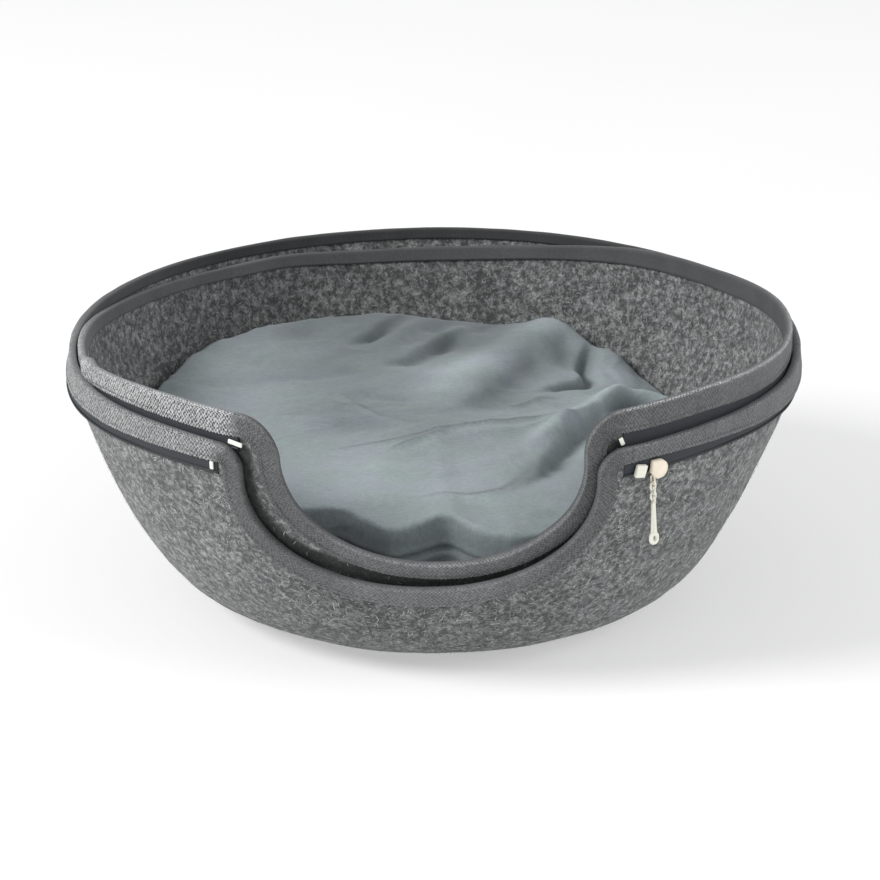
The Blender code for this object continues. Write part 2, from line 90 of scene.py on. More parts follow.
RIM = [
    {"azimuth": -180, "outer": 0.3277, "inner": 0.3148},
    {"azimuth": -165, "outer": 0.3270, "inner": 0.3142},
    {"azimuth": -152, "outer": 0.3272, "inner": 0.3170},
    {"azimuth": -140, "outer": 0.3275, "inner": 0.3168},
    {"azimuth": -115, "outer": 0.3284, "inner": 0.3208},
    {"azimuth": -95, "outer": 0.3283, "inner": 0.3276},
    {"azimuth": -75, "outer": 0.3268, "inner": 0.3326},
    {"azimuth": -60, "outer": 0.3262, "inner": 0.3402},
    {"azimuth": -45, "outer": 0.3266, "inner": 0.3440},
    {"azimuth": -30, "outer": 0.3262, "inner": 0.3440},
    {"azimuth": 30, "outer": 0.3262, "inner": 0.3477},
    {"azimuth": 45, "outer": 0.3275, "inner": 0.3483},
    {"azimuth": 60, "outer": 0.3258, "inner": 0.3449},
    {"azimuth": 75, "outer": 0.3243, "inner": 0.3406},
    {"azimuth": 100, "outer": 0.3290, "inner": 0.3374},
    {"azimuth": 120, "outer": 0.3279, "inner": 0.3318},
    {"azimuth": 141, "outer": 0.3275, "inner": 0.3286},
    {"azimuth": 150, "outer": 0.3278, "inner": 0.3248},
    {"azimuth": 160, "outer": 0.3280, "inner": 0.3200},
    {"azimuth": 170, "outer": 0.3279, "inner": 0.3165},
]

NOTCH = {
    "outer": {"middle_deg": -2.5, "lean_deg": 0.0, "bottom": 0.2332, "half_width": 0.1076, "rise": 0.0735, "corner": 0.0155},
    "inner": {"middle_deg": 0.5, "lean_deg": -1.3, "bottom": 0.2460, "half_width": 0.0937, "rise": 0.0720, "corner": 0.0245},
}

# How wide the tapes are as sewn, round the opening: each binding's outer leg
# and inner leg, and what shows of each zip tape below it. Flare is how far the
# outer binding's lower edge stands off, zip_flare how much further its zip tape does.
# The zip widths take in the shade just below each binding, so in places the dark zip tape stands in for painted shade.
WIDTHS = [
    {"azimuth": -180, "outer": 0.0120, "inner": 0.0126, "outer_in": 0.0068, "inner_in": 0.0095, "outer_zip": 0.0056, "inner_zip": 0.0080, "flare": 0.0003, "zip_flare": 0.0000},
    {"azimuth": -140, "outer": 0.0122, "inner": 0.0120, "outer_in": 0.0068, "inner_in": 0.0080, "outer_zip": 0.0056, "inner_zip": 0.0080, "flare": 0.0006, "zip_flare": 0.0000},
    {"azimuth": -115, "outer": 0.0128, "inner": 0.0112, "outer_in": 0.0068, "inner_in": 0.0080, "outer_zip": 0.0056, "inner_zip": 0.0080, "flare": 0.0019, "zip_flare": 0.0012},
    {"azimuth": -90, "outer": 0.0136, "inner": 0.0108, "outer_in": 0.0072, "inner_in": 0.0095, "outer_zip": 0.0056, "inner_zip": 0.0080, "flare": 0.0038, "zip_flare": 0.0030},
    {"azimuth": -72, "outer": 0.0138, "inner": 0.0108, "outer_in": 0.0090, "inner_in": 0.0105, "outer_zip": 0.0056, "inner_zip": 0.0080, "flare": 0.0034, "zip_flare": 0.0030},
    {"azimuth": -60, "outer": 0.0133, "inner": 0.0112, "outer_in": 0.0100, "inner_in": 0.0110, "outer_zip": 0.0060, "inner_zip": 0.0082, "flare": 0.0016, "zip_flare": 0.0014},
    {"azimuth": -48, "outer": 0.0122, "inner": 0.0122, "outer_in": 0.0110, "inner_in": 0.0112, "outer_zip": 0.0068, "inner_zip": 0.0082, "flare": 0.0004, "zip_flare": 0.0000},
    {"azimuth": -36, "outer": 0.0110, "inner": 0.0130, "outer_in": 0.0112, "inner_in": 0.0115, "outer_zip": 0.0074, "inner_zip": 0.0080, "flare": 0.0003, "zip_flare": 0.0000},
    {"azimuth": -27, "outer": 0.0116, "inner": 0.0124, "outer_in": 0.0112, "inner_in": 0.0115, "outer_zip": 0.0074, "inner_zip": 0.0080, "flare": 0.0002, "zip_flare": 0.0000},
    {"azimuth": -12, "outer": 0.0120, "inner": 0.0103, "outer_in": 0.0112, "inner_in": 0.0115, "outer_zip": 0.0070, "inner_zip": 0.0080, "flare": 0.0002, "zip_flare": 0.0000},
    {"azimuth": 10, "outer": 0.0120, "inner": 0.0103, "outer_in": 0.0112, "inner_in": 0.0115, "outer_zip": 0.0070, "inner_zip": 0.0080, "flare": 0.0002, "zip_flare": 0.0000},
    {"azimuth": 24, "outer": 0.0104, "inner": 0.0124, "outer_in": 0.0112, "inner_in": 0.0115, "outer_zip": 0.0070, "inner_zip": 0.0090, "flare": 0.0002, "zip_flare": 0.0000},
    {"azimuth": 33, "outer": 0.0078, "inner": 0.0132, "outer_in": 0.0112, "inner_in": 0.0118, "outer_zip": 0.0088, "inner_zip": 0.0104, "flare": 0.0002, "zip_flare": 0.0000},
    {"azimuth": 43, "outer": 0.0100, "inner": 0.0134, "outer_in": 0.0112, "inner_in": 0.0120, "outer_zip": 0.0068, "inner_zip": 0.0104, "flare": 0.0003, "zip_flare": 0.0000},
    {"azimuth": 55, "outer": 0.0120, "inner": 0.0143, "outer_in": 0.0108, "inner_in": 0.0120, "outer_zip": 0.0052, "inner_zip": 0.0082, "flare": 0.0006, "zip_flare": 0.0000},
    {"azimuth": 64, "outer": 0.0128, "inner": 0.0142, "outer_in": 0.0100, "inner_in": 0.0120, "outer_zip": 0.0050, "inner_zip": 0.0080, "flare": 0.0014, "zip_flare": 0.0004},
    {"azimuth": 76, "outer": 0.0138, "inner": 0.0130, "outer_in": 0.0086, "inner_in": 0.0124, "outer_zip": 0.0050, "inner_zip": 0.0080, "flare": 0.0028, "zip_flare": 0.0010},
    {"azimuth": 95, "outer": 0.0136, "inner": 0.0128, "outer_in": 0.0070, "inner_in": 0.0126, "outer_zip": 0.0054, "inner_zip": 0.0080, "flare": 0.0029, "zip_flare": 0.0012},
    {"azimuth": 120, "outer": 0.0126, "inner": 0.0126, "outer_in": 0.0068, "inner_in": 0.0124, "outer_zip": 0.0056, "inner_zip": 0.0080, "flare": 0.0010, "zip_flare": 0.0000},
    {"azimuth": 141, "outer": 0.0122, "inner": 0.0126, "outer_in": 0.0068, "inner_in": 0.0117, "outer_zip": 0.0056, "inner_zip": 0.0080, "flare": 0.0005, "zip_flare": 0.0000},
    {"azimuth": 160, "outer": 0.0120, "inner": 0.0126, "outer_in": 0.0068, "inner_in": 0.0094, "outer_zip": 0.0056, "inner_zip": 0.0080, "flare": 0.0003, "zip_flare": 0.0000},
]

# Where the cushion's top edge turns over.
CREST = [
    {"azimuth": -180, "radius": 0.186, "height": 0.109},
    {"azimuth": -165, "radius": 0.188, "height": 0.114},
    {"azimuth": -145, "radius": 0.190, "height": 0.114},
    {"azimuth": -125, "radius": 0.192, "height": 0.112},
    {"azimuth": -109, "radius": 0.191, "height": 0.105},
    {"azimuth": -85, "radius": 0.184, "height": 0.098},
    {"azimuth": -55, "radius": 0.175, "height": 0.095},
    {"azimuth": -30, "radius": 0.151, "height": 0.0970},
    {"azimuth": -22, "radius": 0.147, "height": 0.0985},
    {"azimuth": -15, "radius": 0.154, "height": 0.0960},
    {"azimuth": -9, "radius": 0.160, "height": 0.0948},
    {"azimuth": -4, "radius": 0.153, "height": 0.0965},
    {"azimuth": 3, "radius": 0.147, "height": 0.0995},
    {"azimuth": 9, "radius": 0.160, "height": 0.0945},
    {"azimuth": 16, "radius": 0.170, "height": 0.0925},
    {"azimuth": 24, "radius": 0.172, "height": 0.0915},
    {"azimuth": 34, "radius": 0.171, "height": 0.0890},
    {"azimuth": 55, "radius": 0.176, "height": 0.083},
    {"azimuth": 85, "radius": 0.182, "height": 0.078},
    {"azimuth": 110, "radius": 0.184, "height": 0.077},
    {"azimuth": 130, "radius": 0.190, "height": 0.082},
    {"azimuth": 142, "radius": 0.191, "height": 0.096},
    {"azimuth": 152, "radius": 0.187, "height": 0.1095},
    {"azimuth": 166, "radius": 0.186, "height": 0.106},
]
CUSHION_MIDDLE = 0.104

# The cushion cover's folds, as lines over its top in millimetres. Depth is
# the fold's height at its line, width its reach to each side, lean how far it
# leans over to one side of its line, and sharp is 1 for a creased line. A fold
# with edge 0 dies away before the cushion's edge. Ends say which ends run out
# softly: both, first, last or none.
FOLDS = [
    {"name": "back_left_fold", "depth": -6.5, "width": 6, "lean": -0.7, "sharp": 0, "edge": 0, "ends": "both", "line": ((-13, 196), (-25, 172), (-35, 148), (-48, 124), (-64, 106))},
    {"name": "back_left_ridge", "depth": 2.5, "width": 8, "lean": 0, "sharp": 0, "edge": 0, "ends": "both", "line": ((-6, 192), (-18, 160), (-31, 128), (-42, 88))},
    {"name": "back_hollow", "depth": -3, "width": 9, "lean": 0, "sharp": 0, "edge": 0, "ends": "both", "line": ((22, 184), (6, 162), (-10, 140))},
    {"name": "back_ridge", "depth": 3.5, "width": 7, "lean": 0, "sharp": 0, "edge": 0, "ends": "both", "line": ((24, 184), (16, 158), (2, 130), (-14, 108), (-32, 92))},
    {"name": "back_fold", "depth": -5.5, "width": 6, "lean": -0.6, "sharp": 0, "edge": 0, "ends": "both", "line": ((22, 154), (10, 130), (-4, 108), (-22, 86), (-42, 70))},
    {"name": "edge_dip", "depth": -3, "width": 7, "lean": 0, "sharp": 0, "edge": 0, "ends": "both", "line": ((40, 190), (35, 168), (28, 144))},
    {"name": "broad_ridge", "depth": 5.2, "width": 19, "lean": 0, "sharp": 0, "edge": 1, "ends": "last", "line": ((94, 180), (64, 142), (30, 90), (4, 40), (-12, 0))},
    {"name": "broad_valley", "depth": -7.5, "width": 14, "lean": -0.3, "sharp": 0, "edge": 1, "ends": "both", "line": ((84, 134), (62, 80), (34, 24), (6, -14))},
    {"name": "valley_crease", "depth": 2.2, "width": 4, "lean": 0.5, "sharp": 1, "edge": 1, "ends": "both", "line": ((84, 50), (52, 12), (24, 2))},
    {"name": "long_crease", "depth": 3.6, "width": 4.5, "lean": 0.6, "sharp": 1, "edge": 1, "ends": "both", "line": ((102, 20), (72, -6), (50, -17), (31, -27), (8, -38), (-21, -54), (-40, -61), (-80, -66))},
    {"name": "long_ridge", "depth": 2.0, "width": 6, "lean": 0, "sharp": 0, "edge": 1, "ends": "both", "line": ((98, 8), (70, -18), (48, -29), (28, -39), (4, -50), (-24, -66), (-44, -72))},
    {"name": "long_crease_2", "depth": 3.0, "width": 3.5, "lean": 0.6, "sharp": 1, "edge": 1, "ends": "both", "line": ((14, -42), (-8, -54), (-32, -71))},
    {"name": "left_crease", "depth": 2.6, "width": 4, "lean": 0.6, "sharp": 1, "edge": 1, "ends": "both", "line": ((-66, 32), (-50, 5), (-39, -10), (-25, -20), (-8, -29), (10, -34))},
    {"name": "left_long", "depth": 2.0, "width": 4.5, "lean": 0.6, "sharp": 1, "edge": 1, "ends": "both", "line": ((-108, -9), (-80, -13), (-62, -17), (-44, -12))},
    {"name": "left_short", "depth": 1.8, "width": 3.5, "lean": 0.6, "sharp": 1, "edge": 1, "ends": "both", "line": ((-78, 14), (-58, 5), (-42, -1))},
    {"name": "left_soft", "depth": -2.4, "width": 7, "lean": 0.3, "sharp": 0, "edge": 1, "ends": "both", "line": ((-122, 50), (-94, 58), (-73, 60), (-55, 68), (-36, 79))},
    {"name": "middle_soft", "depth": -2.6, "width": 8, "lean": 0.3, "sharp": 0, "edge": 1, "ends": "both", "line": ((-60, 30), (-35, 27), (-21, 20), (-6, 30))},
    {"name": "left_hollow", "depth": -4, "width": 16, "lean": 0, "sharp": 0, "edge": 0, "ends": "both", "line": ((-62, 190), (-84, 166), (-93, 148), (-92, 106))},
    {"name": "front_crease", "depth": 2.2, "width": 4.5, "lean": 0.6, "sharp": 1, "edge": 1, "ends": "both", "line": ((76, -60), (61, -100), (41, -127), (17, -135), (-26, -134))},
    {"name": "right_crease", "depth": 2.4, "width": 4, "lean": 0.6, "sharp": 1, "edge": 1, "ends": "both", "line": ((96, 2), (73, -19), (52, -31))},
    {"name": "wedge", "depth": -8.5, "width": 7.5, "lean": -0.5, "sharp": 0, "edge": 1, "ends": "both", "line": ((112, 44), (107, 24), (99, 0), (84, -42), (71, -80), (58, -118))},
    {"name": "stream_ridge", "depth": 5.5, "width": 6.5, "lean": 0, "sharp": 0, "edge": 1, "ends": "last", "line": ((120, 68), (112, 52), (99, 24), (83, -9), (66, -35), (50, -72))},
    {"name": "pocket", "depth": -8.5, "width": 4.5, "lean": -0.4, "sharp": 0, "edge": 1, "ends": "both", "line": ((110, 154), (103, 126), (99, 106), (104, 90), (97, 78), (82, 69), (64, 48))},
    {"name": "pocket_side", "depth": -5, "width": 12, "lean": 0, "sharp": 0, "edge": 1, "ends": "both", "line": ((86, 156), (90, 124), (90, 88))},
    {"name": "shoulder", "depth": 4.5, "width": 14, "lean": 0, "sharp": 0, "edge": 1, "ends": "both", "line": ((112, 150), (124, 112), (132, 78))},
    {"name": "roll", "depth": 8.5, "width": 7, "lean": 0.6, "sharp": 0, "edge": 1, "ends": "last", "line": ((170, 52), (153, 63), (138, 65), (124, 60), (113, 47), (106, 34))},
    {"name": "under_roll", "depth": -8, "width": 5, "lean": -0.4, "sharp": 0, "edge": 1, "ends": "last", "line": ((164, 44), (150, 53), (137, 55), (125, 52), (117, 38), (111, 20))},
]

# ---------------------------------------------------------------- the master surface


def meridian_curve():
    along = np.linspace(0.0, MERIDIAN[-1]["along"], 1601)
    slope = np.radians(np.interp(along, [row["along"] for row in MERIDIAN], [row["slope_deg"] for row in MERIDIAN]))
    middle = (slope[1:] + slope[:-1]) / 2
    step = along[1]
    radius = np.concatenate([[0.0], np.cumsum(np.cos(middle) * step)])
    height = np.concatenate([[0.0], np.cumsum(np.sin(middle) * step)])
    return along, radius, height, slope


ALONG, RADIUS, HEIGHT, SLOPE = meridian_curve()


def smooth_step(value):
    value = np.clip(value, 0.0, 1.0)
    return value * value * (3 - 2 * value)


def around(rows, column, azimuth_deg):
    """Smooth periodic reading of a table's column at an azimuth in degrees."""
    turn = (azimuth_deg + 180.0) % 360.0 - 180.0
    count = len(rows)
    before = max([i for i in range(count) if rows[i]["azimuth"] <= turn], default=count - 1)
    x = [rows[(before + k) % count]["azimuth"] for k in (-1, 0, 1, 2)]
    y = [rows[(before + k) % count][column] for k in (-1, 0, 1, 2)]
    if x[1] > turn:
        x[1] -= 360
    while x[0] >= x[1]:
        x[0] -= 360
    while x[2] <= x[1]:
        x[2] += 360
    while x[2] > x[1] + 360:
        x[2] -= 360
    while x[3] <= x[2]:
        x[3] += 360
    while x[3] > x[2] + 360:
        x[3] -= 360
    span = x[2] - x[1]
    into = (y[2] - y[0]) / (x[2] - x[0]) * span
    out = (y[3] - y[1]) / (x[3] - x[1]) * span
    t = (turn - x[1]) / span
    return (
        (2 * t**3 - 3 * t**2 + 1) * y[1]
        + (t**3 - 2 * t**2 + t) * into
        + (3 * t**2 - 2 * t**3) * y[2]
        + (t**3 - t**2) * out
    )


TURNS = np.arange(-180.0, 180.5, 0.5)
READ = {}


def reading(rows, column, azimuth):
    """A table's column at many azimuths in radians."""
    key = (id(rows), column)
    if key not in READ:
        READ[key] = np.array([around(rows, column, min(turn, 179.999)) for turn in TURNS])
    turn = (np.degrees(azimuth) + 180.0) % 360.0 - 180.0
    return np.interp(turn, TURNS, READ[key])


def radius_at(along):
    return np.interp(along, ALONG, RADIUS)


def surface(azimuth, along, depth=0.0):
    """Points at azimuths in radians, distances along the meridian and depths."""
    azimuth, along, depth = np.broadcast_arrays(np.asarray(azimuth, float), np.asarray(along, float), np.asarray(depth, float))
    belly = smooth_step((along - 0.15) / 0.08) * smooth_step((0.325 - along) / 0.07)
    rim = smooth_step((along - 0.27) / 0.055)
    radius = radius_at(along) + belly * reading(BULGE, "belly", azimuth) + rim * reading(BULGE, "rim", azimuth)
    slope = np.interp(along, ALONG, SLOPE)
    height = np.interp(along, ALONG, HEIGHT) + depth * np.cos(slope)
    radius = radius - depth * np.sin(slope)
    return np.stack([radius * np.sin(azimuth), CENTRE_Y - radius * np.cos(azimuth), height], axis=-1)


def notch_stand(azimuth, along):
    """How much further in the inner half stands round the bottom of the notch."""
    turn = np.abs((np.degrees(azimuth) + 180.0) % 360.0 - 180.0)
    return 0.0030 * smooth_step((29.0 - turn) / 12.0) * smooth_step((along - 0.196) / 0.034) * smooth_step((0.332 - along) / 0.040)


def felt_depth(half, along, azimuth=None):
    if half == "outer":
        return np.zeros_like(along)
    lie, stand = FELT + 0.0005, FELT + 2 * GAP + 2 * TAPE + 0.0008
    t = np.clip((along - BASE_RADIUS) / 0.040, 0.0, 1.0)
    depth = lie + (stand - lie) * (1 - (1 - t) ** 2)
    return depth if azimuth is None else depth + notch_stand(azimuth, along)


def width(name, azimuth):
    return reading(WIDTHS, name, azimuth)


def notch_middle(half, along):
    form = NOTCH[half]
    share = np.clip((along - form["bottom"]) / (form["rise"] + 0.02), 0.0, 1.0)
    return np.radians(form["middle_deg"] + form["lean_deg"] * share)


class Edge:
    """A half's cut edge as one closed line, once round from the right corner by way of the back."""

    def __init__(self, half):
        self.half = half
        form = NOTCH[half]
        tops, ends = {}, {}
        for side in (1, -1):
            reach = form["half_width"] + form["corner"]
            guess = math.degrees(notch_middle(half, 0.33) + side * reach / radius_at(0.33))
            tops[side] = around(RIM, half, guess)
            ends[side] = math.degrees(notch_middle(half, tops[side]) + side * reach / radius_at(tops[side]))
        turns = np.radians(np.arange(ends[1], ends[-1] + 360, 0.1))
        rim = (turns, reading(RIM, half, turns), np.ones(len(turns)))

        def placed(offset, along):
            return notch_middle(half, along) + offset / radius_at(along) + 2 * math.pi, along, np.zeros(len(along))

        def corner(side):
            turn = np.radians(np.linspace(2, 90, 60))
            offset = form["half_width"] + form["corner"] * (1 - np.sin(turn))
            return placed(side * offset, tops[side] - form["corner"] * (1 - np.cos(turn)))

        def wall(side):
            low, high = form["bottom"] + form["rise"], tops[side] - form["corner"]
            along = np.linspace(high, low, 24)[1:-1] if high - low > 0.001 else np.array([])
            return placed(np.full(len(along), side * form["half_width"]), along)

        turn = np.linspace(-math.pi / 2, math.pi / 2, 400)
        offset = form["half_width"] * np.sign(turn) * np.abs(np.sin(turn)) ** (2 / 2.1)
        along = form["bottom"] + form["rise"] * (1 - np.abs(np.cos(turn)) ** (2 / 2.1))
        parts = [rim, corner(-1), wall(-1), placed(offset, along)]
        parts += [tuple(values[::-1] for values in wall(1)), tuple(values[::-1] for values in corner(1))]
        azimuth, along, rims = (np.concatenate([part[i] for part in parts]) for i in range(3))
        self.reach = self.run_of(azimuth, along)
        self.length = self.reach[-1]
        self.azimuth, self.along, self.rims = azimuth, along, rims

    def run_of(self, azimuth, along):
        azimuth = np.append(azimuth, azimuth[0] + 2 * math.pi)
        along = np.append(along, along[0])
        middle = radius_at((along[1:] + along[:-1]) / 2)
        step = np.hypot(np.diff(azimuth) * middle, np.diff(along))
        return np.concatenate([[0.0], np.cumsum(step)])

    def at(self, run):
        """(azimuth, along, on the rim) at distances run round the edge."""
        turns = np.floor(run / self.length)
        left = run - turns * self.length
        azimuth = np.interp(left, self.reach, np.append(self.azimuth, self.azimuth[0] + 2 * math.pi)) + turns * 2 * math.pi
        along = np.interp(left, self.reach, np.append(self.along, self.along[0]))
        rims = np.interp(left, self.reach, np.append(self.rims, self.rims[0]))
        return azimuth, along, rims

    def way(self, run, window=0.0016):
        """Unit directions in the surface that point into the felt, as (across, along)."""
        before, after = self.at(run - window), self.at(run + window)
        here = self.at(run)
        across = (after[0] - before[0]) * radius_at(here[1])
        up = after[1] - before[1]
        size = np.hypot(across, up)
        return up / size, -across / size

    def inside(self, run, distance):
        """(azimuth, along) reached by going in from the edge at right angles."""
        azimuth, along, _ = self.at(run)
        across, up = self.way(run)
        distance = np.asarray(distance, float)
        for _ in range(4):
            azimuth = azimuth + across * distance / 4 / radius_at(along)
            along = along + up * distance / 4
        return azimuth, along

    def run_at(self, azimuth_deg):
        """The run round the edge of a place on the rim."""
        rim = self.rims > 0.5
        turn = np.degrees(self.azimuth[rim])
        goal = azimuth_deg if azimuth_deg > turn[0] else azimuth_deg + 360
        return float(np.interp(goal, turn, self.reach[:-1][rim]))


# ---------------------------------------------------------------- noise and meshes


def lattice(ix, iy, iz, seed):
    """A repeatable number from 0 to 1 for each whole-numbered point."""
    mixed = (ix * 374761393 + iy * 668265263 + iz * 2147483647 + seed * 1274126177) & 0xFFFFFFFF
    mixed = ((mixed ^ (mixed >> 13)) * 1274126177) & 0xFFFFFFFF
    mixed = ((mixed ^ (mixed >> 16)) * 2246822519) & 0xFFFFFFFF
    return ((mixed ^ (mixed >> 15)) & 0xFFFFFF) / float(0xFFFFFF)


def noise(points, size, seed=1):
    """Smooth noise from -1 to 1 at points, with features of a size in metres."""
    scaled = np.asarray(points, float) / size
    whole = np.floor(scaled)
    part = scaled - whole
    part = part**3 * (part * (part * 6 - 15) + 10)
    ix, iy, iz = (whole[..., i].astype(np.int64) for i in range(3))
    total = np.zeros(scaled.shape[:-1])
    for dx in (0, 1):
        for dy in (0, 1):
            for dz in (0, 1):
                weight = (
                    (part[..., 0] if dx else 1 - part[..., 0])
                    * (part[..., 1] if dy else 1 - part[..., 1])
                    * (part[..., 2] if dz else 1 - part[..., 2])
                )
                total += weight * lattice(ix + dx, iy + dy, iz + dz, seed)
    return total * 2 - 1


def layered(points, size, layers, seed=1):
    total, amount = 0.0, 1.0
    for layer in range(layers):
        total = total + amount * noise(points, size / 2**layer, seed + layer)
        amount *= 0.5
    return total


def new_mesh(name, points, faces, uv=None, tone=None, smooth=True, extra=None):
    """A mesh object from points and quads or triangles. uv is for each face corner, tone for each point."""
    mesh = bpy.data.meshes.new(name)
    points = np.asarray(points, np.float32)
    sizes = np.array([len(face) for face in faces], np.int32) if isinstance(faces, list) else np.full(len(faces), faces.shape[1], np.int32)
    corners = np.concatenate([np.asarray(face, np.int32) for face in faces]) if isinstance(faces, list) else faces.astype(np.int32).ravel()
    mesh.vertices.add(len(points))
    mesh.vertices.foreach_set("co", points.ravel())
    mesh.loops.add(len(corners))
    mesh.loops.foreach_set("vertex_index", corners)
    mesh.polygons.add(len(sizes))
    mesh.polygons.foreach_set("loop_start", np.concatenate([[0], np.cumsum(sizes)[:-1]]).astype(np.int32))
    mesh.update(calc_edges=True)
    if uv is not None:
        layer = mesh.uv_layers.new(name="cloth")
        layer.data.foreach_set("uv", np.asarray(uv, np.float32).ravel())
    if tone is not None:
        attribute = mesh.attributes.new("tone", "FLOAT", "POINT")
        attribute.data.foreach_set("value", np.asarray(tone, np.float32))
    for key, values in (extra or {}).items():
        mesh.attributes.new(key, "FLOAT", "POINT").data.foreach_set("value", np.asarray(values, np.float32))
    if smooth:
        mesh.shade_smooth()
    mesh.validate()
    made = bpy.data.objects.new(name, mesh)
    bpy.context.scene.collection.objects.link(made)
    return made


def grid_faces(rows, columns, wrap_rows=False, wrap_columns=False):
    """Quads of a grid of points, row after row, and each corner's (row, column) before any wrap."""
    r = np.arange(rows if wrap_rows else rows - 1)
    c = np.arange(columns if wrap_columns else columns - 1)
    r, c = (values.ravel() for values in np.meshgrid(r, c, indexing="ij"))
    corner_rows = np.stack([r, r, r + 1, r + 1], axis=1)
    corner_columns = np.stack([c, c + 1, c + 1, c], axis=1)
    faces = (corner_rows % rows) * columns + corner_columns % columns
    return faces, corner_rows, corner_columns


def outward(made):
    """Turns a closed piece's faces to point out."""
    grid = bmesh.new()
    grid.from_mesh(made.data)
    if grid.calc_volume(signed=True) < 0:
        bmesh.ops.reverse_faces(grid, faces=grid.faces)
    grid.to_mesh(made.data)
    grid.free()
    return made


# ---------------------------------------------------------------- materials


class Graph:
    """Short ways to add and link a material's nodes."""

    def __init__(self, name, roughness, metallic=0.0, specular=0.5):
        self.material = bpy.data.materials.new(name)
        self.material.use_nodes = True
        self.nodes = self.material.node_tree.nodes
        self.links = self.material.node_tree.links
        self.shader = self.nodes["Principled BSDF"]
        self.shader.inputs["Roughness"].default_value = roughness
        self.shader.inputs["Metallic"].default_value = metallic
        self.shader.inputs["Specular IOR Level"].default_value = specular

    def node(self, kind, inputs=None, **settings):
        made = self.nodes.new(kind)
        for key, value in settings.items():
            setattr(made, key, value)
        for key, value in (inputs or {}).items():
            self.put(made.inputs[key], value)
        return made

    def put(self, socket, value):
        if isinstance(value, bpy.types.NodeSocket):
            self.links.new(value, socket)
        else:
            socket.default_value = value

    def math(self, operation, first, second=0.0, third=0.0, clamp=False):
        made = self.node("ShaderNodeMath", operation=operation, use_clamp=clamp)
        for socket, value in zip(made.inputs, (first, second, third)):
            self.put(socket, value)
        return made.outputs[0]

    def range(self, value, low, high, to_low=0.0, to_high=1.0, kind="SMOOTHSTEP"):
        made = self.node("ShaderNodeMapRange", interpolation_type=kind)
        for key, given in (("Value", value), ("From Min", low), ("From Max", high), ("To Min", to_low), ("To Max", to_high)):
            self.put(made.inputs[key], given)
        return made.outputs[0]

    def noise(self, vector, scale, detail=2.0, rough=0.5, distortion=0.0):
        made = self.node("ShaderNodeTexNoise", {"Vector": vector, "Scale": scale, "Detail": detail, "Roughness": rough, "Distortion": distortion})
        return made.outputs["Fac"]

    def mapped(self, vector, scale=(1, 1, 1), turn=(0, 0, 0), shift=(0, 0, 0)):
        made = self.node("ShaderNodeMapping", {"Vector": vector, "Scale": scale, "Rotation": turn, "Location": shift})
        return made.outputs[0]

    def mix(self, share, first, second, blend="MIX"):
        made = self.node("ShaderNodeMix", data_type="RGBA", blend_type=blend)
        self.put(made.inputs[0], share)
        self.put(made.inputs[6], first)
        self.put(made.inputs[7], second)
        return made.outputs[2]

    def ramp(self, value, stops, kind="LINEAR"):
        made = self.node("ShaderNodeValToRGB", {"Fac": value})
        made.color_ramp.interpolation = kind
        elements = made.color_ramp.elements
        while len(elements) < len(stops):
            elements.new(0.5)
        for element, (place, colour) in zip(elements, stops):
            element.position = place
            element.color = (*colour, 1.0)
        return made.outputs[0]

    def bump(self, height, distance, strength=1.0):
        made = self.node("ShaderNodeBump", {"Height": height, "Distance": distance, "Strength": strength})
        self.links.new(made.outputs[0], self.shader.inputs["Normal"])

    def colour(self, value):
        self.put(self.shader.inputs["Base Color"], value)

    def sheen(self, weight, roughness, tint=(1, 1, 1)):
        self.shader.inputs["Sheen Weight"].default_value = weight
        self.shader.inputs["Sheen Roughness"].default_value = roughness
        self.shader.inputs["Sheen Tint"].default_value = (*tint, 1.0)

    def place(self):
        return self.node("ShaderNodeTexCoord").outputs["Object"]

    def cloth(self):
        """(u, v) of the cloth in metres."""
        parts = self.node("ShaderNodeSeparateXYZ", {"Vector": self.node("ShaderNodeUVMap", uv_map="cloth").outputs[0]})
        return parts.outputs[0], parts.outputs[1]

    def tone(self):
        return self.node("ShaderNodeAttribute", attribute_name="tone").outputs["Fac"]


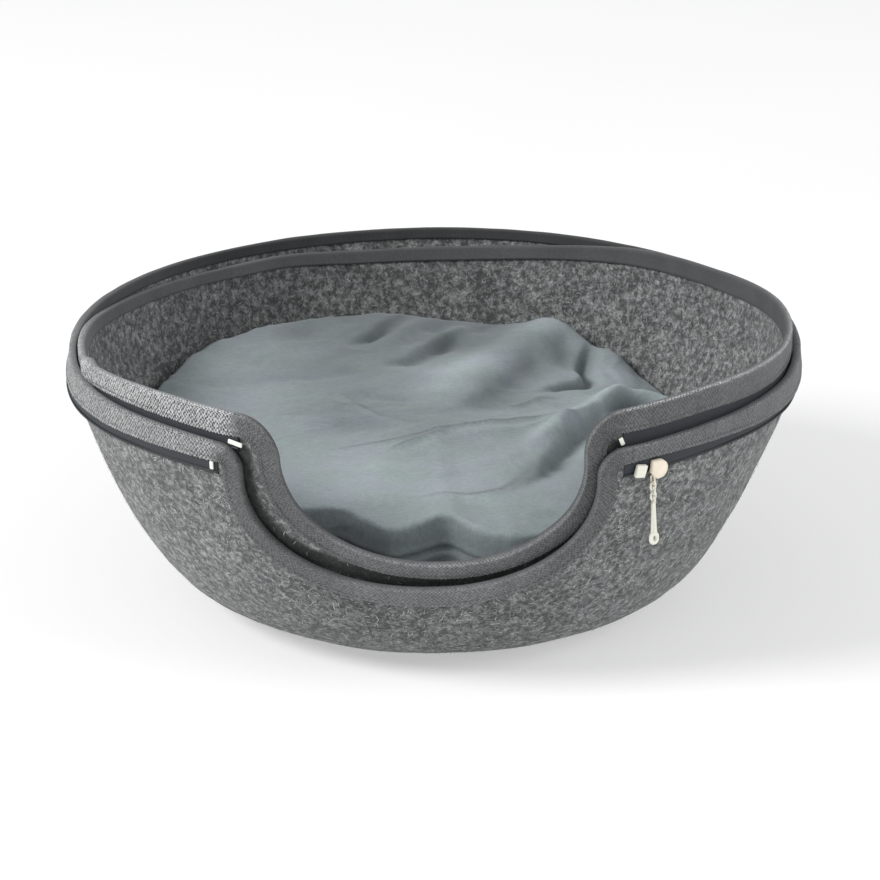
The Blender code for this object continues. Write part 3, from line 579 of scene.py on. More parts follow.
def felt_material():
    """Grey wool felt: light and dark fibres matted together."""
    g = Graph("felt", roughness=0.95, specular=0.2)
    place = g.place()
    clumps = g.noise(place, 250.0, detail=5.0, rough=0.62, distortion=0.25)
    flecks = g.noise(g.mapped(place, shift=(4.0, 2.0, 7.0)), 620.0, detail=3.0, rough=0.7)
    broad = g.noise(place, 48.0, detail=3.0)
    light, dark = None, None
    turns = [(0.3, 0.2, 0.0), (1.2, 0.5, 0.9), (0.4, 1.3, 2.1), (2.0, 0.9, 1.4), (0.9, 2.2, 0.6), (1.7, 1.9, 2.6)]
    for i, turn in enumerate(turns):
        streak = g.noise(
            g.mapped(place, scale=(1500.0, 1500.0, 210.0), turn=turn, shift=(3.1 * i, 1.7 * i, 0.9 * i)),
            1.0, detail=1.0, rough=0.5, distortion=0.45,
        )
        light = streak if light is None else g.math("MAXIMUM", light, streak)
        dark = streak if dark is None else g.math("MINIMUM", dark, streak)
    light = g.range(light, 0.64, 0.86)
    dark = g.range(dark, 0.36, 0.16)
    value = g.range(clumps, 0.34, 0.68, 0.0, 0.60)
    value = g.math("ADD", value, g.range(flecks, 0.32, 0.70, -0.16, 0.22))
    value = g.math("ADD", value, g.math("MULTIPLY", light, 0.36))
    value = g.math("SUBTRACT", value, g.math("MULTIPLY", dark, 0.26))
    value = g.math("ADD", value, g.range(broad, 0.3, 0.7, -0.07, 0.07))
    colour = g.ramp(value, [(0.0, (0.058, 0.061, 0.062)), (0.30, (0.135, 0.140, 0.141)), (0.62, (0.255, 0.264, 0.264)), (1.0, (0.56, 0.575, 0.57))])
    # The tone attribute darkens the felt with painted shade: the crevice by the notch, the back of the inner half's
    # inside and the front of the outer half's outside.
    g.colour(g.mix(g.math("MULTIPLY", g.tone(), 0.90), colour, (0.008, 0.009, 0.009, 1.0)))
    height = g.math("ADD", g.math("MULTIPLY", clumps, 0.55), g.math("MULTIPLY", light, 0.30))
    height = g.math("ADD", height, g.math("MULTIPLY", flecks, 0.30))
    g.bump(height, 0.0013, 0.9)
    g.sheen(0.15, 0.6)
    return g.material


def fibre_material():
    g = Graph("felt_fibre", roughness=0.9, specular=0.2)
    g.colour(g.ramp(g.tone(), [(0.0, (0.04, 0.043, 0.045)), (0.4, (0.13, 0.136, 0.138)), (0.75, (0.33, 0.34, 0.34)), (1.0, (0.60, 0.61, 0.61))]))
    return g.material


def tape_material():
    """Woven tape: bright nubs with dark gaps on the outer leg, a finer face on the inner leg darkened with painted
    shade, and painted light and shade over both from the light attribute.
    """
    g = Graph("edge_tape", roughness=0.7, specular=0.4)
    u, v = g.cloth()
    leg = g.node("ShaderNodeAttribute", attribute_name="leg").outputs["Fac"]
    painted_tape_light = g.node("ShaderNodeAttribute", attribute_name="light").outputs["Fac"]
    place = g.place()
    wander = g.noise(place, 330.0, detail=2.0)
    shift = g.math("MULTIPLY", g.math("SUBTRACT", wander, 0.5), 6.5)
    drift = g.math("MULTIPLY", g.math("SUBTRACT", g.noise(g.mapped(place, shift=(2.0, 5.0, 1.0)), 420.0, detail=2.0), 0.5), 6.0)
    nubs = g.math(
        "MULTIPLY",
        g.math("COSINE", g.math("ADD", g.math("MULTIPLY", u, 2 * math.pi / WEAVE), shift)),
        g.math("COSINE", g.math("ADD", g.math("MULTIPLY", v, math.pi / ROW), drift)),
    )
    uneven = g.noise(place, 560.0, detail=2.0, rough=0.6)
    face = g.range(g.math("ADD", nubs, g.math("MULTIPLY", g.math("SUBTRACT", uneven, 0.5), 3.0)), -0.80, 0.85, kind="LINEAR")
    ribs = g.range(g.math("COSINE", g.math("MULTIPLY", u, 2 * math.pi / 0.00095)), -0.8, 0.9)
    fine = g.math("ADD", g.math("MULTIPLY", ribs, 0.4), g.math("MULTIPLY", uneven, 0.6))
    bright = g.ramp(face, [(0.0, (0.050, 0.053, 0.056)), (0.26, (0.150, 0.155, 0.159)), (0.48, (0.335, 0.343, 0.348)), (0.75, (0.43, 0.438, 0.442)), (1.0, (0.56, 0.568, 0.57))])
    # The inner leg's plain ramp is darker than the outer leg's as painted shade.
    plain = g.ramp(fine, [(0.15, (0.115, 0.120, 0.126)), (0.85, (0.215, 0.221, 0.230))])
    calm = g.ramp(g.math("ADD", g.math("MULTIPLY", face, 0.60), g.math("MULTIPLY", uneven, 0.40)), [(0.15, (0.165, 0.171, 0.177)), (0.45, (0.262, 0.270, 0.277)), (0.85, (0.40, 0.41, 0.415))])
    # The light attribute is painted light and shade: where it is high the bright nub ramp takes over, and it scales the
    # colour's value.
    painted_light_share = g.range(painted_tape_light, 0.50, 0.90)
    whole = g.mix(leg, plain, g.mix(painted_light_share, calm, bright))
    dimmed = g.node("ShaderNodeHueSaturation", {"Color": whole, "Value": painted_tape_light})
    g.colour(dimmed.outputs[0])
    height = g.node("ShaderNodeMix", data_type="FLOAT")
    g.put(height.inputs[0], leg)
    g.put(height.inputs[2], g.math("MULTIPLY", fine, 0.4))
    g.put(height.inputs[3], g.math("MULTIPLY", face, g.math("ADD", 0.35, g.math("MULTIPLY", painted_light_share, 0.65))))
    g.bump(height.outputs[0], 0.00060, 0.9)
    g.sheen(0.1, 0.5)
    return g.material


def zip_material():
    g = Graph("zip_tape", roughness=0.75, specular=0.3)
    u, v = g.cloth()
    place = g.place()
    ribs = g.math("COSINE", g.math("MULTIPLY", u, 2 * math.pi / 0.0008))
    rows = g.math("COSINE", g.math("MULTIPLY", v, 2 * math.pi / 0.0009))
    weave = g.range(g.math("ADD", g.math("MULTIPLY", ribs, rows), g.math("MULTIPLY", g.noise(place, 700.0), 0.6)), -0.8, 1.2)
    g.colour(g.ramp(weave, [(0.0, (0.026, 0.030, 0.034)), (1.0, (0.052, 0.058, 0.064))]))
    g.bump(weave, 0.0002, 0.7)
    return g.material


def coil_material():
    g = Graph("zip_coil", roughness=0.45, specular=0.45)
    g.colour(g.ramp(g.noise(g.place(), 500.0), [(0.3, (0.012, 0.014, 0.016)), (0.7, (0.022, 0.025, 0.028))]))
    return g.material


def cover_material():
    """Short-napped fleece of the cushion's cover."""
    g = Graph("cushion_cover", roughness=0.9, specular=0.25)
    place = g.place()
    patch = g.noise(place, 28.0, detail=2.0, rough=0.6)
    nap = g.noise(place, 1500.0, detail=2.0, rough=0.7)
    brushed = g.noise(g.mapped(place, scale=(260.0, 620.0, 260.0)), 1.0, detail=3.0, rough=0.65)
    base = g.mix(g.range(patch, 0.35, 0.65), (0.318, 0.374, 0.376, 1), (0.334, 0.376, 0.406, 1))
    value = g.math("ADD", g.range(nap, 0.3, 0.7, -0.09, 0.09), g.range(brushed, 0.3, 0.7, -0.07, 0.07))
    # The tone attribute carries the cover's painted light and shade.
    value = g.math("MULTIPLY", g.math("ADD", value, 1.0), g.tone())
    tint = g.node("ShaderNodeHueSaturation", {"Color": base, "Value": value})
    g.colour(tint.outputs[0])
    height = g.math("ADD", g.math("MULTIPLY", nap, 0.5), g.math("MULTIPLY", brushed, 0.6))
    g.bump(height, 0.0006, 0.7)
    g.sheen(0.22, 0.45, (0.9, 0.95, 1.0))
    return g.material


def enamel_material(name, colour, dull):
    """Thickly painted zinc with faint wear."""
    g = Graph(name, roughness=0.38, metallic=0.0, specular=0.5)
    place = g.place()
    wear = g.range(g.noise(place, 900.0, detail=3.0, rough=0.7), 0.58, 0.75)
    g.colour(g.mix(wear, (*colour, 1.0), (*dull, 1.0)))
    g.bump(g.noise(place, 700.0, detail=2.0), 0.00012, 0.5)
    return g.material


def floor_material():
    g = Graph("floor", roughness=0.9, specular=0.1)
    g.colour(g.ramp(g.noise(g.place(), 3.0), [(0.3, (0.58, 0.58, 0.58)), (0.7, (0.59, 0.59, 0.59))]))
    g.shader.inputs["Emission Color"].default_value = (1.0, 1.0, 1.0, 1.0)
    g.shader.inputs["Emission Strength"].default_value = 0.42
    return g.material


FELT_LOOK = felt_material()
FIBRE_LOOK = fibre_material()
TAPE_LOOK = tape_material()
ZIP_LOOK = zip_material()
COIL_LOOK = coil_material()
COVER_LOOK = cover_material()
PAINT_LOOK = enamel_material("cream_paint", (0.86, 0.85, 0.74), (0.62, 0.62, 0.52))
SLIDER_LOOK = enamel_material("peach_paint", (0.93, 0.83, 0.68), (0.80, 0.68, 0.52))
PIN_LOOK = enamel_material("white_nylon", (0.88, 0.88, 0.80), (0.74, 0.74, 0.66))


def dress(made, look):
    made.data.materials.clear()
    made.data.materials.append(look)
    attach(made, "root")
    return made


def thread_material():
    g = Graph("thread", roughness=0.6, specular=0.4)
    g.colour(g.ramp(g.noise(g.place(), 900.0), [(0.3, (0.085, 0.088, 0.090)), (0.7, (0.16, 0.164, 0.168))]))
    return g.material


THREAD_LOOK = thread_material()
EDGES = {half: Edge(half) for half in ("outer", "inner")}

# ---------------------------------------------------------------- felt halves


def felt_lines(half, spacing):
    """For each line up the felt: its run round the edge, its foot on the base and where the binding covers it."""
    edge = EDGES[half]
    count = int(edge.length / spacing)
    run = np.arange(count) * edge.length / count
    azimuth, along, rims = edge.at(run)
    middle = float(notch_middle(half, 0.0))
    fan = math.radians(46.0)
    rim_end = float(edge.reach[:-1][edge.rims > 0.5][-1])
    right, left = edge.azimuth[0], edge.at(np.array([rim_end]))[0][0]
    share = (azimuth - right) / (left - right)
    on_rim = run <= rim_end
    fine = np.linspace(rim_end, edge.length, 600)
    places = surface(*edge.inside(fine, 0.010))
    steps = np.concatenate([[0.0], np.cumsum(np.linalg.norm(np.diff(places, axis=0), axis=1))])
    fanned = middle + 2 * math.pi - fan + 2 * fan * np.interp(run, fine, steps) / steps[-1]
    foot = np.where(on_rim, middle + fan + (2 * math.pi - 2 * fan) * share, fanned)
    bound = edge.inside(run, width(half, azimuth))
    return run, foot, bound, (azimuth, along), rims


def notch_shadow(azimuth, along):
    """Painted shadow on the inner felt in the crevice beside the outer half's notch edge, from how deep in the crevice
    each place lies.
    """
    edge = EDGES["outer"]
    keep = np.nonzero(edge.rims < 0.5)[0][::3]
    line = np.stack([(edge.azimuth[keep] - 2 * math.pi) * radius_at(edge.along[keep]), edge.along[keep]], axis=1)
    turn = (azimuth + math.pi) % (2 * math.pi) - math.pi
    spots = np.stack([turn * radius_at(along), along], axis=-1)
    shade = np.zeros(turn.shape)
    near = (np.abs(turn) < math.radians(44)) & (along > 0.18)
    some = spots[near]
    gap = np.full(len(some), 1e9)
    for i in range(0, len(line), 40):
        gap = np.minimum(gap, np.linalg.norm(some[:, None, :] - line[None, i : i + 40, :], axis=2).min(axis=1))
    reach = np.interp(np.degrees(turn[near]), [-40, -10, 10, 40], [0.0068, 0.0062, 0.0056, 0.0046])
    reach = reach * (1 + 0.20 * noise(np.concatenate([some, some[:, :1] * 0], axis=1), 0.008, 33))
    shade[near] = 1 - smooth_step((gap - 0.62 * reach) / (0.75 * reach))
    return shade


def felt_half(half):
    run, foot, bound, cut, rims = felt_lines(half, 0.0033)
    count = len(run)
    low = np.linspace(0.06, 1.0, 14)
    wall = np.linspace(0.0, 1.0, 64)[1:]
    top = np.linspace(0.0, 1.0, 4)[1:]
    # crevice marks the felt just below the binding round the notch; it only sets painted shade there.
    azimuth, along, crevice = [], [], []
    for share in low:
        azimuth.append(foot)
        along.append(np.full(count, BASE_RADIUS * share))
        crevice.append(np.zeros(count))
    climb = np.hypot((bound[0] - foot) * radius_at(bound[1]), bound[1] - BASE_RADIUS)
    for share in wall:
        azimuth.append(foot + (bound[0] - foot) * share)
        along.append(BASE_RADIUS + (bound[1] - BASE_RADIUS) * share)
        crevice.append(smooth_step(1.0 - (1.0 - share) * climb / 0.004) * smooth_step(1 - rims))
    for share in top:
        azimuth.append(bound[0] + (cut[0] - bound[0]) * share)
        along.append(bound[1] + (cut[1] - bound[1]) * share)
        crevice.append(smooth_step(1 - rims))
    azimuth, along, crevice = np.array(azimuth), np.array(along), np.array(crevice)
    depth = felt_depth(half, along, azimuth)
    flat = surface(azimuth, along, depth)
    seed = 3 if half == "outer" else 9
    uneven = 0.00050 * layered(flat, 0.034, 3, seed) + 0.00014 * noise(flat, 0.006, seed + 7)
    uneven = uneven * smooth_step((along - 0.09) / 0.05)
    outside = surface(azimuth, along, depth + uneven)
    inside = surface(azimuth, along, depth + FELT + 0.8 * uneven)
    rows = np.concatenate([outside, inside[::-1]])
    # Painted shade in the felt's tone: on the inner half, a painted shadow in the crevice by the outer half's notch
    # edge, painted shade just below the notch binding and painted shade on the back of its inside; on the outer half,
    # painted shade on the front of its outside.
    if half == "inner":
        turn = np.degrees(azimuth) % 360.0
        painted_back_shade = 0.25 * smooth_step((turn - 152) / 20) * smooth_step((248 - turn) / 20)
        shade = np.concatenate([np.maximum(notch_shadow(azimuth, along), 0.35 * crevice), painted_back_shade[::-1]]).ravel()
    else:
        turn = np.abs((np.degrees(azimuth) + 180.0) % 360.0 - 180.0)
        shade = np.concatenate([0.19 * smooth_step((34 - turn) / 22), crevice * 0]).ravel()
    faces, _, _ = grid_faces(len(rows), count, wrap_columns=True)
    points = rows.reshape(-1, 3)
    under = surface(0.0, 0.0, float(felt_depth(half, np.array(0.0))))
    over = surface(0.0, 0.0, float(felt_depth(half, np.array(0.0))) + FELT)
    points = np.concatenate([points, [under], [over]])
    index = np.arange(count)
    after = (index + 1) % count
    last = (len(rows) - 1) * count
    fan_low = np.stack([np.full(count, len(points) - 2), after, index], axis=1)
    fan_high = np.stack([np.full(count, len(points) - 1), last + index, last + after], axis=1)
    made = new_mesh(f"{half}_felt", points, [*faces, *fan_low, *fan_high], tone=np.append(shade, [0.0, 0.0]))
    outward(made)
    dress(made, FELT_LOOK)
    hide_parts(f"{half}_shell")
    return made


def fibres(half, side, number, seed):
    """Loose wool fibres that lie on the felt: thin bent ribbons, joined into one mesh."""
    rng = np.random.default_rng(seed)
    run, foot, bound, cut, rims = felt_lines(half, 0.0036)
    line = rng.integers(0, len(run), number)
    share = np.sqrt(rng.uniform(0.04, 1.0, number))
    away = (bound[0] - foot)[line]
    azimuth = foot[line] + away * share
    along = BASE_RADIUS * 0.98 + ((bound[1] - BASE_RADIUS)[line]) * share
    length = rng.uniform(0.0020, 0.0058, number)
    heading = rng.uniform(0, 2 * math.pi, number)
    bend = rng.normal(0, 1.3, number)
    half_wide = rng.uniform(0.00010, 0.00020, number)
    lift = rng.uniform(0.00010, 0.00045, number)
    bright = 1.0 if side == "out" else 0.84
    tone = np.where(rng.random(number) < 0.72, rng.uniform(0.62, 1.0, number) * bright, rng.uniform(0.0, 0.25, number))
    thick = FELT if side == "in" else 0.0
    sign = 1.0 if side == "in" else -1.0
    points, tones = [], []
    steps = 4
    here_a, here_s = azimuth.copy(), along.copy()
    for k in range(steps):
        t = k / (steps - 1)
        turn = heading + bend * (t - 0.5)
        rise = lift * (0.35 + 0.9 * math.sin(math.pi * t))
        depth = felt_depth(half, here_s, here_a) + thick + sign * rise
        middle = surface(here_a, here_s, depth)
        across = surface(here_a - np.sin(turn) * 0.001 / radius_at(here_s), here_s + np.cos(turn) * 0.001, depth) - middle
        across /= np.linalg.norm(across, axis=1)[:, None]
        here_wide = half_wide * (1.0 if 0 < k < steps - 1 else 0.4)
        points.append(middle - across * here_wide[:, None])
        points.append(middle + across * here_wide[:, None])
        tones += [tone, tone]
        here_a = here_a + np.cos(turn) * length / (steps - 1) / radius_at(here_s)
        here_s = here_s + np.sin(turn) * length / (steps - 1)
    points = np.stack(points, axis=1)
    tones = np.stack(tones, axis=1)
    first = np.arange(number) * steps * 2
    faces = np.concatenate([np.stack([first + 2 * k, first + 2 * k + 2, first + 2 * k + 3, first + 2 * k + 1], axis=1) for k in range(steps - 1)])
    made = new_mesh(f"{half}_fibres_{side}", points.reshape(-1, 3), faces, tone=tones.ravel())
    return dress(made, FIBRE_LOOK)


# ---------------------------------------------------------------- bindings

LAP = {"inner": -72.0, "outer": 104.0}
LAP_LENGTH = 0.010


def tape_runs(edge, start, fine_from, fine_to, fine, coarse, extra):
    """Places round the edge from a start, close together where the weave is modelled."""
    total = edge.length + extra
    found, here = [], 0.0
    while here < total:
        found.append(here)
        turn = (start + here) % edge.length
        near = fine_from <= turn or turn <= fine_to
        here += fine if near else coarse
    found.append(total)
    return start + np.array(found)


def binding(half):
    """One woven tape folded over the whole edge, its start lapped over its end."""
    edge = EDGES[half]
    start = edge.run_at(LAP[half])
    fine_to = edge.run_at(96.0)
    fine_from = edge.run_at(-102.0)
    run = tape_runs(edge, start, fine_from, fine_to, WEAVE / 3, WEAVE * 1.5, LAP_LENGTH)
    count = len(run)
    went = run - start
    azimuth, along, rims = edge.at(run)
    rims = np.clip(rims, 0, 1)
    turn = run % edge.length
    near = (turn >= fine_from) | (turn <= fine_to)
    fine = np.clip(np.minimum((turn - fine_from + edge.length) % edge.length, (fine_to - turn) % edge.length) / 0.03, 0, 1)
    fine = np.where(near, fine, 0.0)
    band, band_in = width(half, azimuth), width(f"{half}_in", azimuth)
    flare = width("flare", azimuth) if half == "outer" else 0.0003 * np.ones(count)
    flare = flare * rims + 0.0001
    out, through = -(GAP + TAPE), FELT + GAP + TAPE
    middle, reach = (out + through) / 2, (through - out) / 2
    zero = np.zeros(count)

    form = NOTCH[half]
    corner = np.zeros(count)
    for side in (1, -1):
        at = edge.run_at(math.degrees(float(notch_middle(half, 0.33))) + side * math.degrees((form["half_width"] + form["corner"]) / radius_at(0.33)))
        bend_at = (at - side * form["corner"] * 0.78) % edge.length
        gap = np.abs((turn - bend_at + edge.length / 2) % edge.length - edge.length / 2)
        corner = np.maximum(corner, smooth_step(1 - gap / 0.015))

    # How the lap lies: the start over the end, with the cut start folded down.
    over = 0.0019 * smooth_step(1 - (went - 0.004) / 0.020)
    nose = np.sqrt(np.clip(1 - np.clip(1 - went / 0.0055, 0, 1) ** 2, 0.0, 1))
    under = np.where(went > edge.length - 0.02, 0.00025, 0.0)
    tucked = smooth_step(1 - went / 0.0010) + smooth_step((went - edge.length - LAP_LENGTH + 0.0012) / 0.0012)
    sag = 0.00025 * noise(np.stack([went, zero, zero], axis=1), 0.05, 4) + 0.00012 * noise(np.stack([went, zero, zero], axis=1), 0.014, 14)
    wander = 0.34 * noise(np.stack([went, zero, zero], axis=1), 0.009, 17)
    spread = (np.degrees(azimuth) + 180.0) % 360.0 - 180.0
    opened = 0.5 + 0.5 * smooth_step((-24.0 - spread) / 8.0) * smooth_step((spread + 112.0) / 30.0)
    tooth = 0.00022 * np.cos(2 * math.pi * went / WEAVE) * fine + 0.00018 * noise(np.stack([went, zero, zero], axis=1), 0.004, 19)

    outer_rows, fold_rows, inner_rows = 23, 8, 7
    rows, vees, tones = [], [], []

    def add(distance, depth, face_in, face_depth, v, leg_out, is_lining=False):
        """One line of the section: how far in from the edge, how deep, the way it faces, its length from the lower edge."""
        spots = np.stack([went, v, zero], axis=1)
        phase = wander + 1.1 * noise(spots, 0.0034, 23)
        nubs = np.cos(2 * math.pi * (went / WEAVE + 0.28 * phase)) * np.cos(math.pi * (v / ROW + 0.5 * phase))
        jitter = 0.75 + 0.45 * noise(spots, 0.0021, 5)
        low = 1 - distance / np.maximum(band, 1e-6)
        stand = over - under + sag
        if not is_lining:
            stand = stand + 0.00020 * nubs * jitter * fine * leg_out * opened
            stand = stand + flare * np.clip(distance / band, 0, 1) ** 1.5 * (leg_out > 0.9)
            pleat = corner * (0.00036 * np.cos(2 * math.pi * went / 0.0038) + 0.0002)
            stand = stand + pleat * leg_out * np.clip(1.2 - low, 0.3, 1)
            stand = stand - 0.0011 * np.clip(tucked, 0, 1) * (1 if leg_out < 0.9 else 1)
        elif leg_out > 0.9:
            stand = stand + flare * np.clip(distance / band, 0, 1) ** 1.5
        if is_lining:
            stand = np.maximum(stand - 0.0001, stand * 0)
        azimuth_here, along_here = edge.inside(run, distance + face_in * stand)
        base = felt_depth(half, along_here, azimuth_here)
        rows.append(surface(azimuth_here, along_here, base + depth + face_depth * stand))
        vees.append(v)
        tones.append(leg_out * np.ones(count))

    for k in range(outer_rows):
        share = 1 - k / (outer_rows - 1)
        low_edge = band + tooth - 0.0045 * (1 - nose) * 0
        distance = 0.0002 + (low_edge - 0.0002) * share
        add(distance, out, 0.0, -1.0, band - distance, 1.0)
    for angle in np.radians(np.linspace(0, 180, fold_rows + 2))[1:-1]:
        v = band + reach * angle
        leg = float(np.clip(1.25 - angle / math.radians(110), 0, 1))
        add(zero + 0.0002 - 0.0010 * math.sin(angle), middle - reach * math.cos(angle), -math.sin(angle), -math.cos(angle), v, leg)
    for k in range(inner_rows):
        share = k / (inner_rows - 1)
        distance = 0.0002 + (band_in - 0.0002) * share
        add(distance, through, 0.0, 1.0, band + reach * math.pi + distance, 0.0)
    end_v = zero + 0.06
    add(band_in, through - TAPE, 0.0, 1.0, end_v, 0.0, True)
    add(zero + 0.0002, through - TAPE, 0.0, 1.0, end_v, 0.0, True)
    add(zero - 0.0004, middle + 0.0010, -1.0, 0.0, end_v, 0.0, True)
    add(zero - 0.0004, middle - 0.0010, -1.0, 0.0, end_v, 0.0, True)
    add(zero + 0.0002, out + TAPE, 0.0, -1.0, end_v, 1.0, True)
    add(band, out + TAPE, 0.0, -1.0, end_v, 1.0, True)
    rows, vees, tones = np.array(rows), np.array(vees), np.array(tones)
    faces, corner_rows, corner_columns = grid_faces(len(rows), count, wrap_rows=True)
    vee = vees[corner_rows % len(rows), np.minimum(corner_columns, count - 1)]
    uv = np.stack([went[np.minimum(corner_columns, count - 1)], vee], axis=-1)
    # Painted light and shade on the tape: lighter on the left of the rim where the key light falls, lighter at the
    # front of the notch, painted shade up the notch's sides, on the inner tape's right and on the outer tape's back,
    # and lighter on the inner tape's back left.
    place = (np.degrees(azimuth) + 180.0) % 360.0 - 180.0
    soft_rims = np.mean([edge.at(run + step)[2] for step in np.linspace(-0.006, 0.006, 9)], axis=0)
    left = smooth_step((-26.0 - place) / 9.0) * smooth_step((place + 112.0) / 30.0) * smooth_step(1.15 * soft_rims)
    line = 0.42 + (0.54 if half == "inner" else 0.34) * left + 0.08 * smooth_step((26 - np.abs(place)) / 14) * (1 - rims)
    line = line * (1 - 0.24 * (1 - soft_rims) * smooth_step((np.abs(place) - 8) / 12))
    line = line - (0.055 if half == "inner" else 0.0) * smooth_step((place - 24) / 12) * smooth_step((104 - place) / 12)
    line = line * (1 - (0.50 if half == "outer" else 0.0) * smooth_step((np.abs(place) - 112) / 30))
    line = line + (0.14 if half == "inner" else 0.0) * smooth_step((-96 - place) / 14) * smooth_step((place + 158) / 16)
    spots = np.stack([np.repeat(went[None, :], len(rows), axis=0), vees, vees * 0], axis=-1)
    stray = 0.0050 * noise(spots, 0.005, 57) + 0.0030 * noise(spots, 0.0022, 58)
    light = np.interp(run[None, :] + stray, run, line) * (1 + 0.10 * noise(spots, 0.012, 59))
    # The fold itself catches the light on the front's sides.
    ridge = np.exp(-(((vees - band[None, :] - 0.0022) / 0.0017) ** 2)) * (vees < 0.05)
    ridge = ridge * (smooth_step((place + 100) / 20) * smooth_step((112 - place) / 25))[None, :]
    light = light + ridge * ((0.80 if half == "inner" else 0.22) * (1 - 0.55 * left) * (0.22 + 0.78 * soft_rims))[None, :]
    # The dark outline of the lapped end.
    outline = 0.75 * np.exp(-((went / 0.0011) ** 2)) + 0.65 * np.exp(-np.abs(edge.length - 0.0004 - went) / 0.0012) * (went < edge.length + 0.001)
    light = light * (1 - np.clip(outline, 0, 0.85))[None, :]
    tone = tones * 0.5 + 0.5 * light
    rings = [list(range(0, len(rows) * count, count)), list(range(count - 1, len(rows) * count, count))]
    ends_uv = np.zeros((2 * len(rows), 2))
    made = new_mesh(
        f"{half}_edge_tape", rows.reshape(-1, 3), [*faces, rings[0], rings[1][::-1]],
        uv=np.concatenate([uv.reshape(-1, 2), ends_uv]), tone=tone.ravel(),
        extra={"leg": tones.ravel(), "light": light.ravel()},
    )
    outward(made)
    dress(made, TAPE_LOOK)
    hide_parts(f"{half}_binding")
    return made


# ---------------------------------------------------------------- zip halves


def rim_runs(edge, spacing):
    rim_end = float(edge.reach[:-1][edge.rims > 0.5][-1])
    count = int(rim_end / spacing)
    return np.linspace(0.0, rim_end, count)


def zip_half(half):
    """The dark woven tape that shows below the binding, with the coil along its free edge."""
    edge = EDGES[half]
    run = rim_runs(edge, 0.0012)
    count = len(run)
    azimuth0, along0, _ = edge.at(run)
    band, wide = width(half, azimuth0), width(f"{half}_zip", azimuth0)
    flare = width("flare", azimuth0) if half == "outer" else 0.0002
    off = width("zip_flare", azimuth0) if half == "outer" else 0.0
    sag = 0.0002 * noise(np.stack([run, run * 0, run * 0], axis=1), 0.03, 21)

    def line(share, depth):
        along = along0 - band - np.where(share > 0, wide * share, 0.012 * share)
        stand = sag + np.maximum(flare * (0.75 - 0.5 * share) - 0.0002, 0) * (share > -0.05) + off * (0.35 + 0.65 * max(share, 0.0)) * (share > -0.05)
        return surface(azimuth0, along, felt_depth(half, along, azimuth0) + depth - stand)

    shares = np.array([1.0, 0.84, 0.68, 0.5, 0.34, 0.17, 0.0, -0.25])
    front = [line(share, -GAP - 0.00062) for share in shares]
    back = [line(share, -GAP - 0.00004) for share in shares[::-3]]
    rows = np.array(front + back)
    faces, corner_rows, corner_columns = grid_faces(len(rows), count, wrap_rows=True)
    v = np.concatenate([0.006 * shares, 0.006 * shares[::-3], [0.0]])
    uv = np.stack([run[corner_columns], v[corner_rows]], axis=-1)
    rings = [list(range(0, len(rows) * count, count)), list(range(count - 1, len(rows) * count, count))]
    made = new_mesh(
        f"{half}_zip_cloth", rows.reshape(-1, 3), [*faces, rings[0], rings[1][::-1]],
        uv=np.concatenate([uv.reshape(-1, 2), np.zeros((2 * len(rows), 2))]),
    )
    outward(made)
    dress(made, ZIP_LOOK)
    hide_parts(f"{half}_zip_tape")

    fine = rim_runs(edge, 0.00055)
    azimuth1, along1, _ = edge.at(fine)
    reach = width(half, azimuth1) + width(f"{half}_zip", azimuth1)
    flare1 = width("flare", azimuth1) * 0.25 + width("zip_flare", azimuth1) if half == "outer" else 0.0
    bead = 1.0 + 0.34 * np.cos(2 * math.pi * fine / 0.0013)
    lines = []
    for k in range(8):
        angle = 2 * math.pi * k / 8
        along = along1 - reach + 0.0003 + 0.00085 * bead * math.sin(angle)
        depth = felt_depth(half, along, azimuth1) - GAP - 0.0007 - flare1 - 0.0006 * bead * math.cos(angle)
        lines.append(surface(azimuth1, along, depth))
    rows = np.array(lines)
    faces, _, _ = grid_faces(8, len(fine), wrap_rows=True)
    rings = [list(range(0, 8 * len(fine), len(fine))), list(range(len(fine) - 1, 8 * len(fine), len(fine)))]
    coil = new_mesh(f"{half}_zip_coil", rows.reshape(-1, 3), [*faces, rings[0], rings[1][::-1]])
    outward(coil)
    dress(coil, COIL_LOOK)
    return made, coil


def stitches(half):
    """A line of lock stitches along the binding's outer leg, in its own colour."""
    edge = EDGES[half]
    pitch, length = 0.0036, 0.0027
    number = int(edge.length / pitch)
    starts = np.arange(number) * edge.length / number

    def spot(run, rise):
        azimuth = edge.at(run)[0]
        flare = width("flare", azimuth) * np.clip(edge.at(run)[2], 0, 1) if half == "outer" else 0.0003
        near_start = (run - edge.run_at(LAP[half])) % edge.length
        over = 0.0019 * smooth_step(1 - (near_start - 0.004) / 0.020)
        azimuth_in, along_in = edge.inside(run, width(half, azimuth) - 0.0024)
        return surface(azimuth_in, along_in, felt_depth(half, along_in, azimuth_in) - GAP - TAPE - flare * 0.7 - over - rise)

    rows = []
    for k in range(5):
        t = k / 4
        run = starts + length * t
        rise = 0.00030 if 0 < t < 1 else -0.0002
        middle = spot(run, rise)
        ahead = spot(run + 0.0005, rise) - middle
        ahead /= np.linalg.norm(ahead, axis=1)[:, None]
        up = spot(run, rise + 0.001) - middle
        up /= np.linalg.norm(up, axis=1)[:, None]
        side = np.cross(ahead, up)
        rows.append(np.stack([middle + 0.0002 * (math.cos(a) * side + math.sin(a) * up) for a in np.arange(5) * 2 * math.pi / 5], axis=1))
    points = np.stack(rows, axis=1).reshape(-1, 3)
    first = np.arange(number) * 25
    faces = []
    for k in range(4):
        for j in range(5):
            i = (j + 1) % 5
            faces.append(np.stack([first + 5 * k + j, first + 5 * k + i, first + 5 * k + 5 + i, first + 5 * k + 5 + j], axis=1))
    faces = np.concatenate(faces)
    caps = [np.arange(s, s + 5)[::-1] for s in first] + [np.arange(s + 20, s + 25) for s in first]
    made = new_mesh(f"{half}_stitches", points, [*faces, *caps])
    return dress(made, THREAD_LOOK)


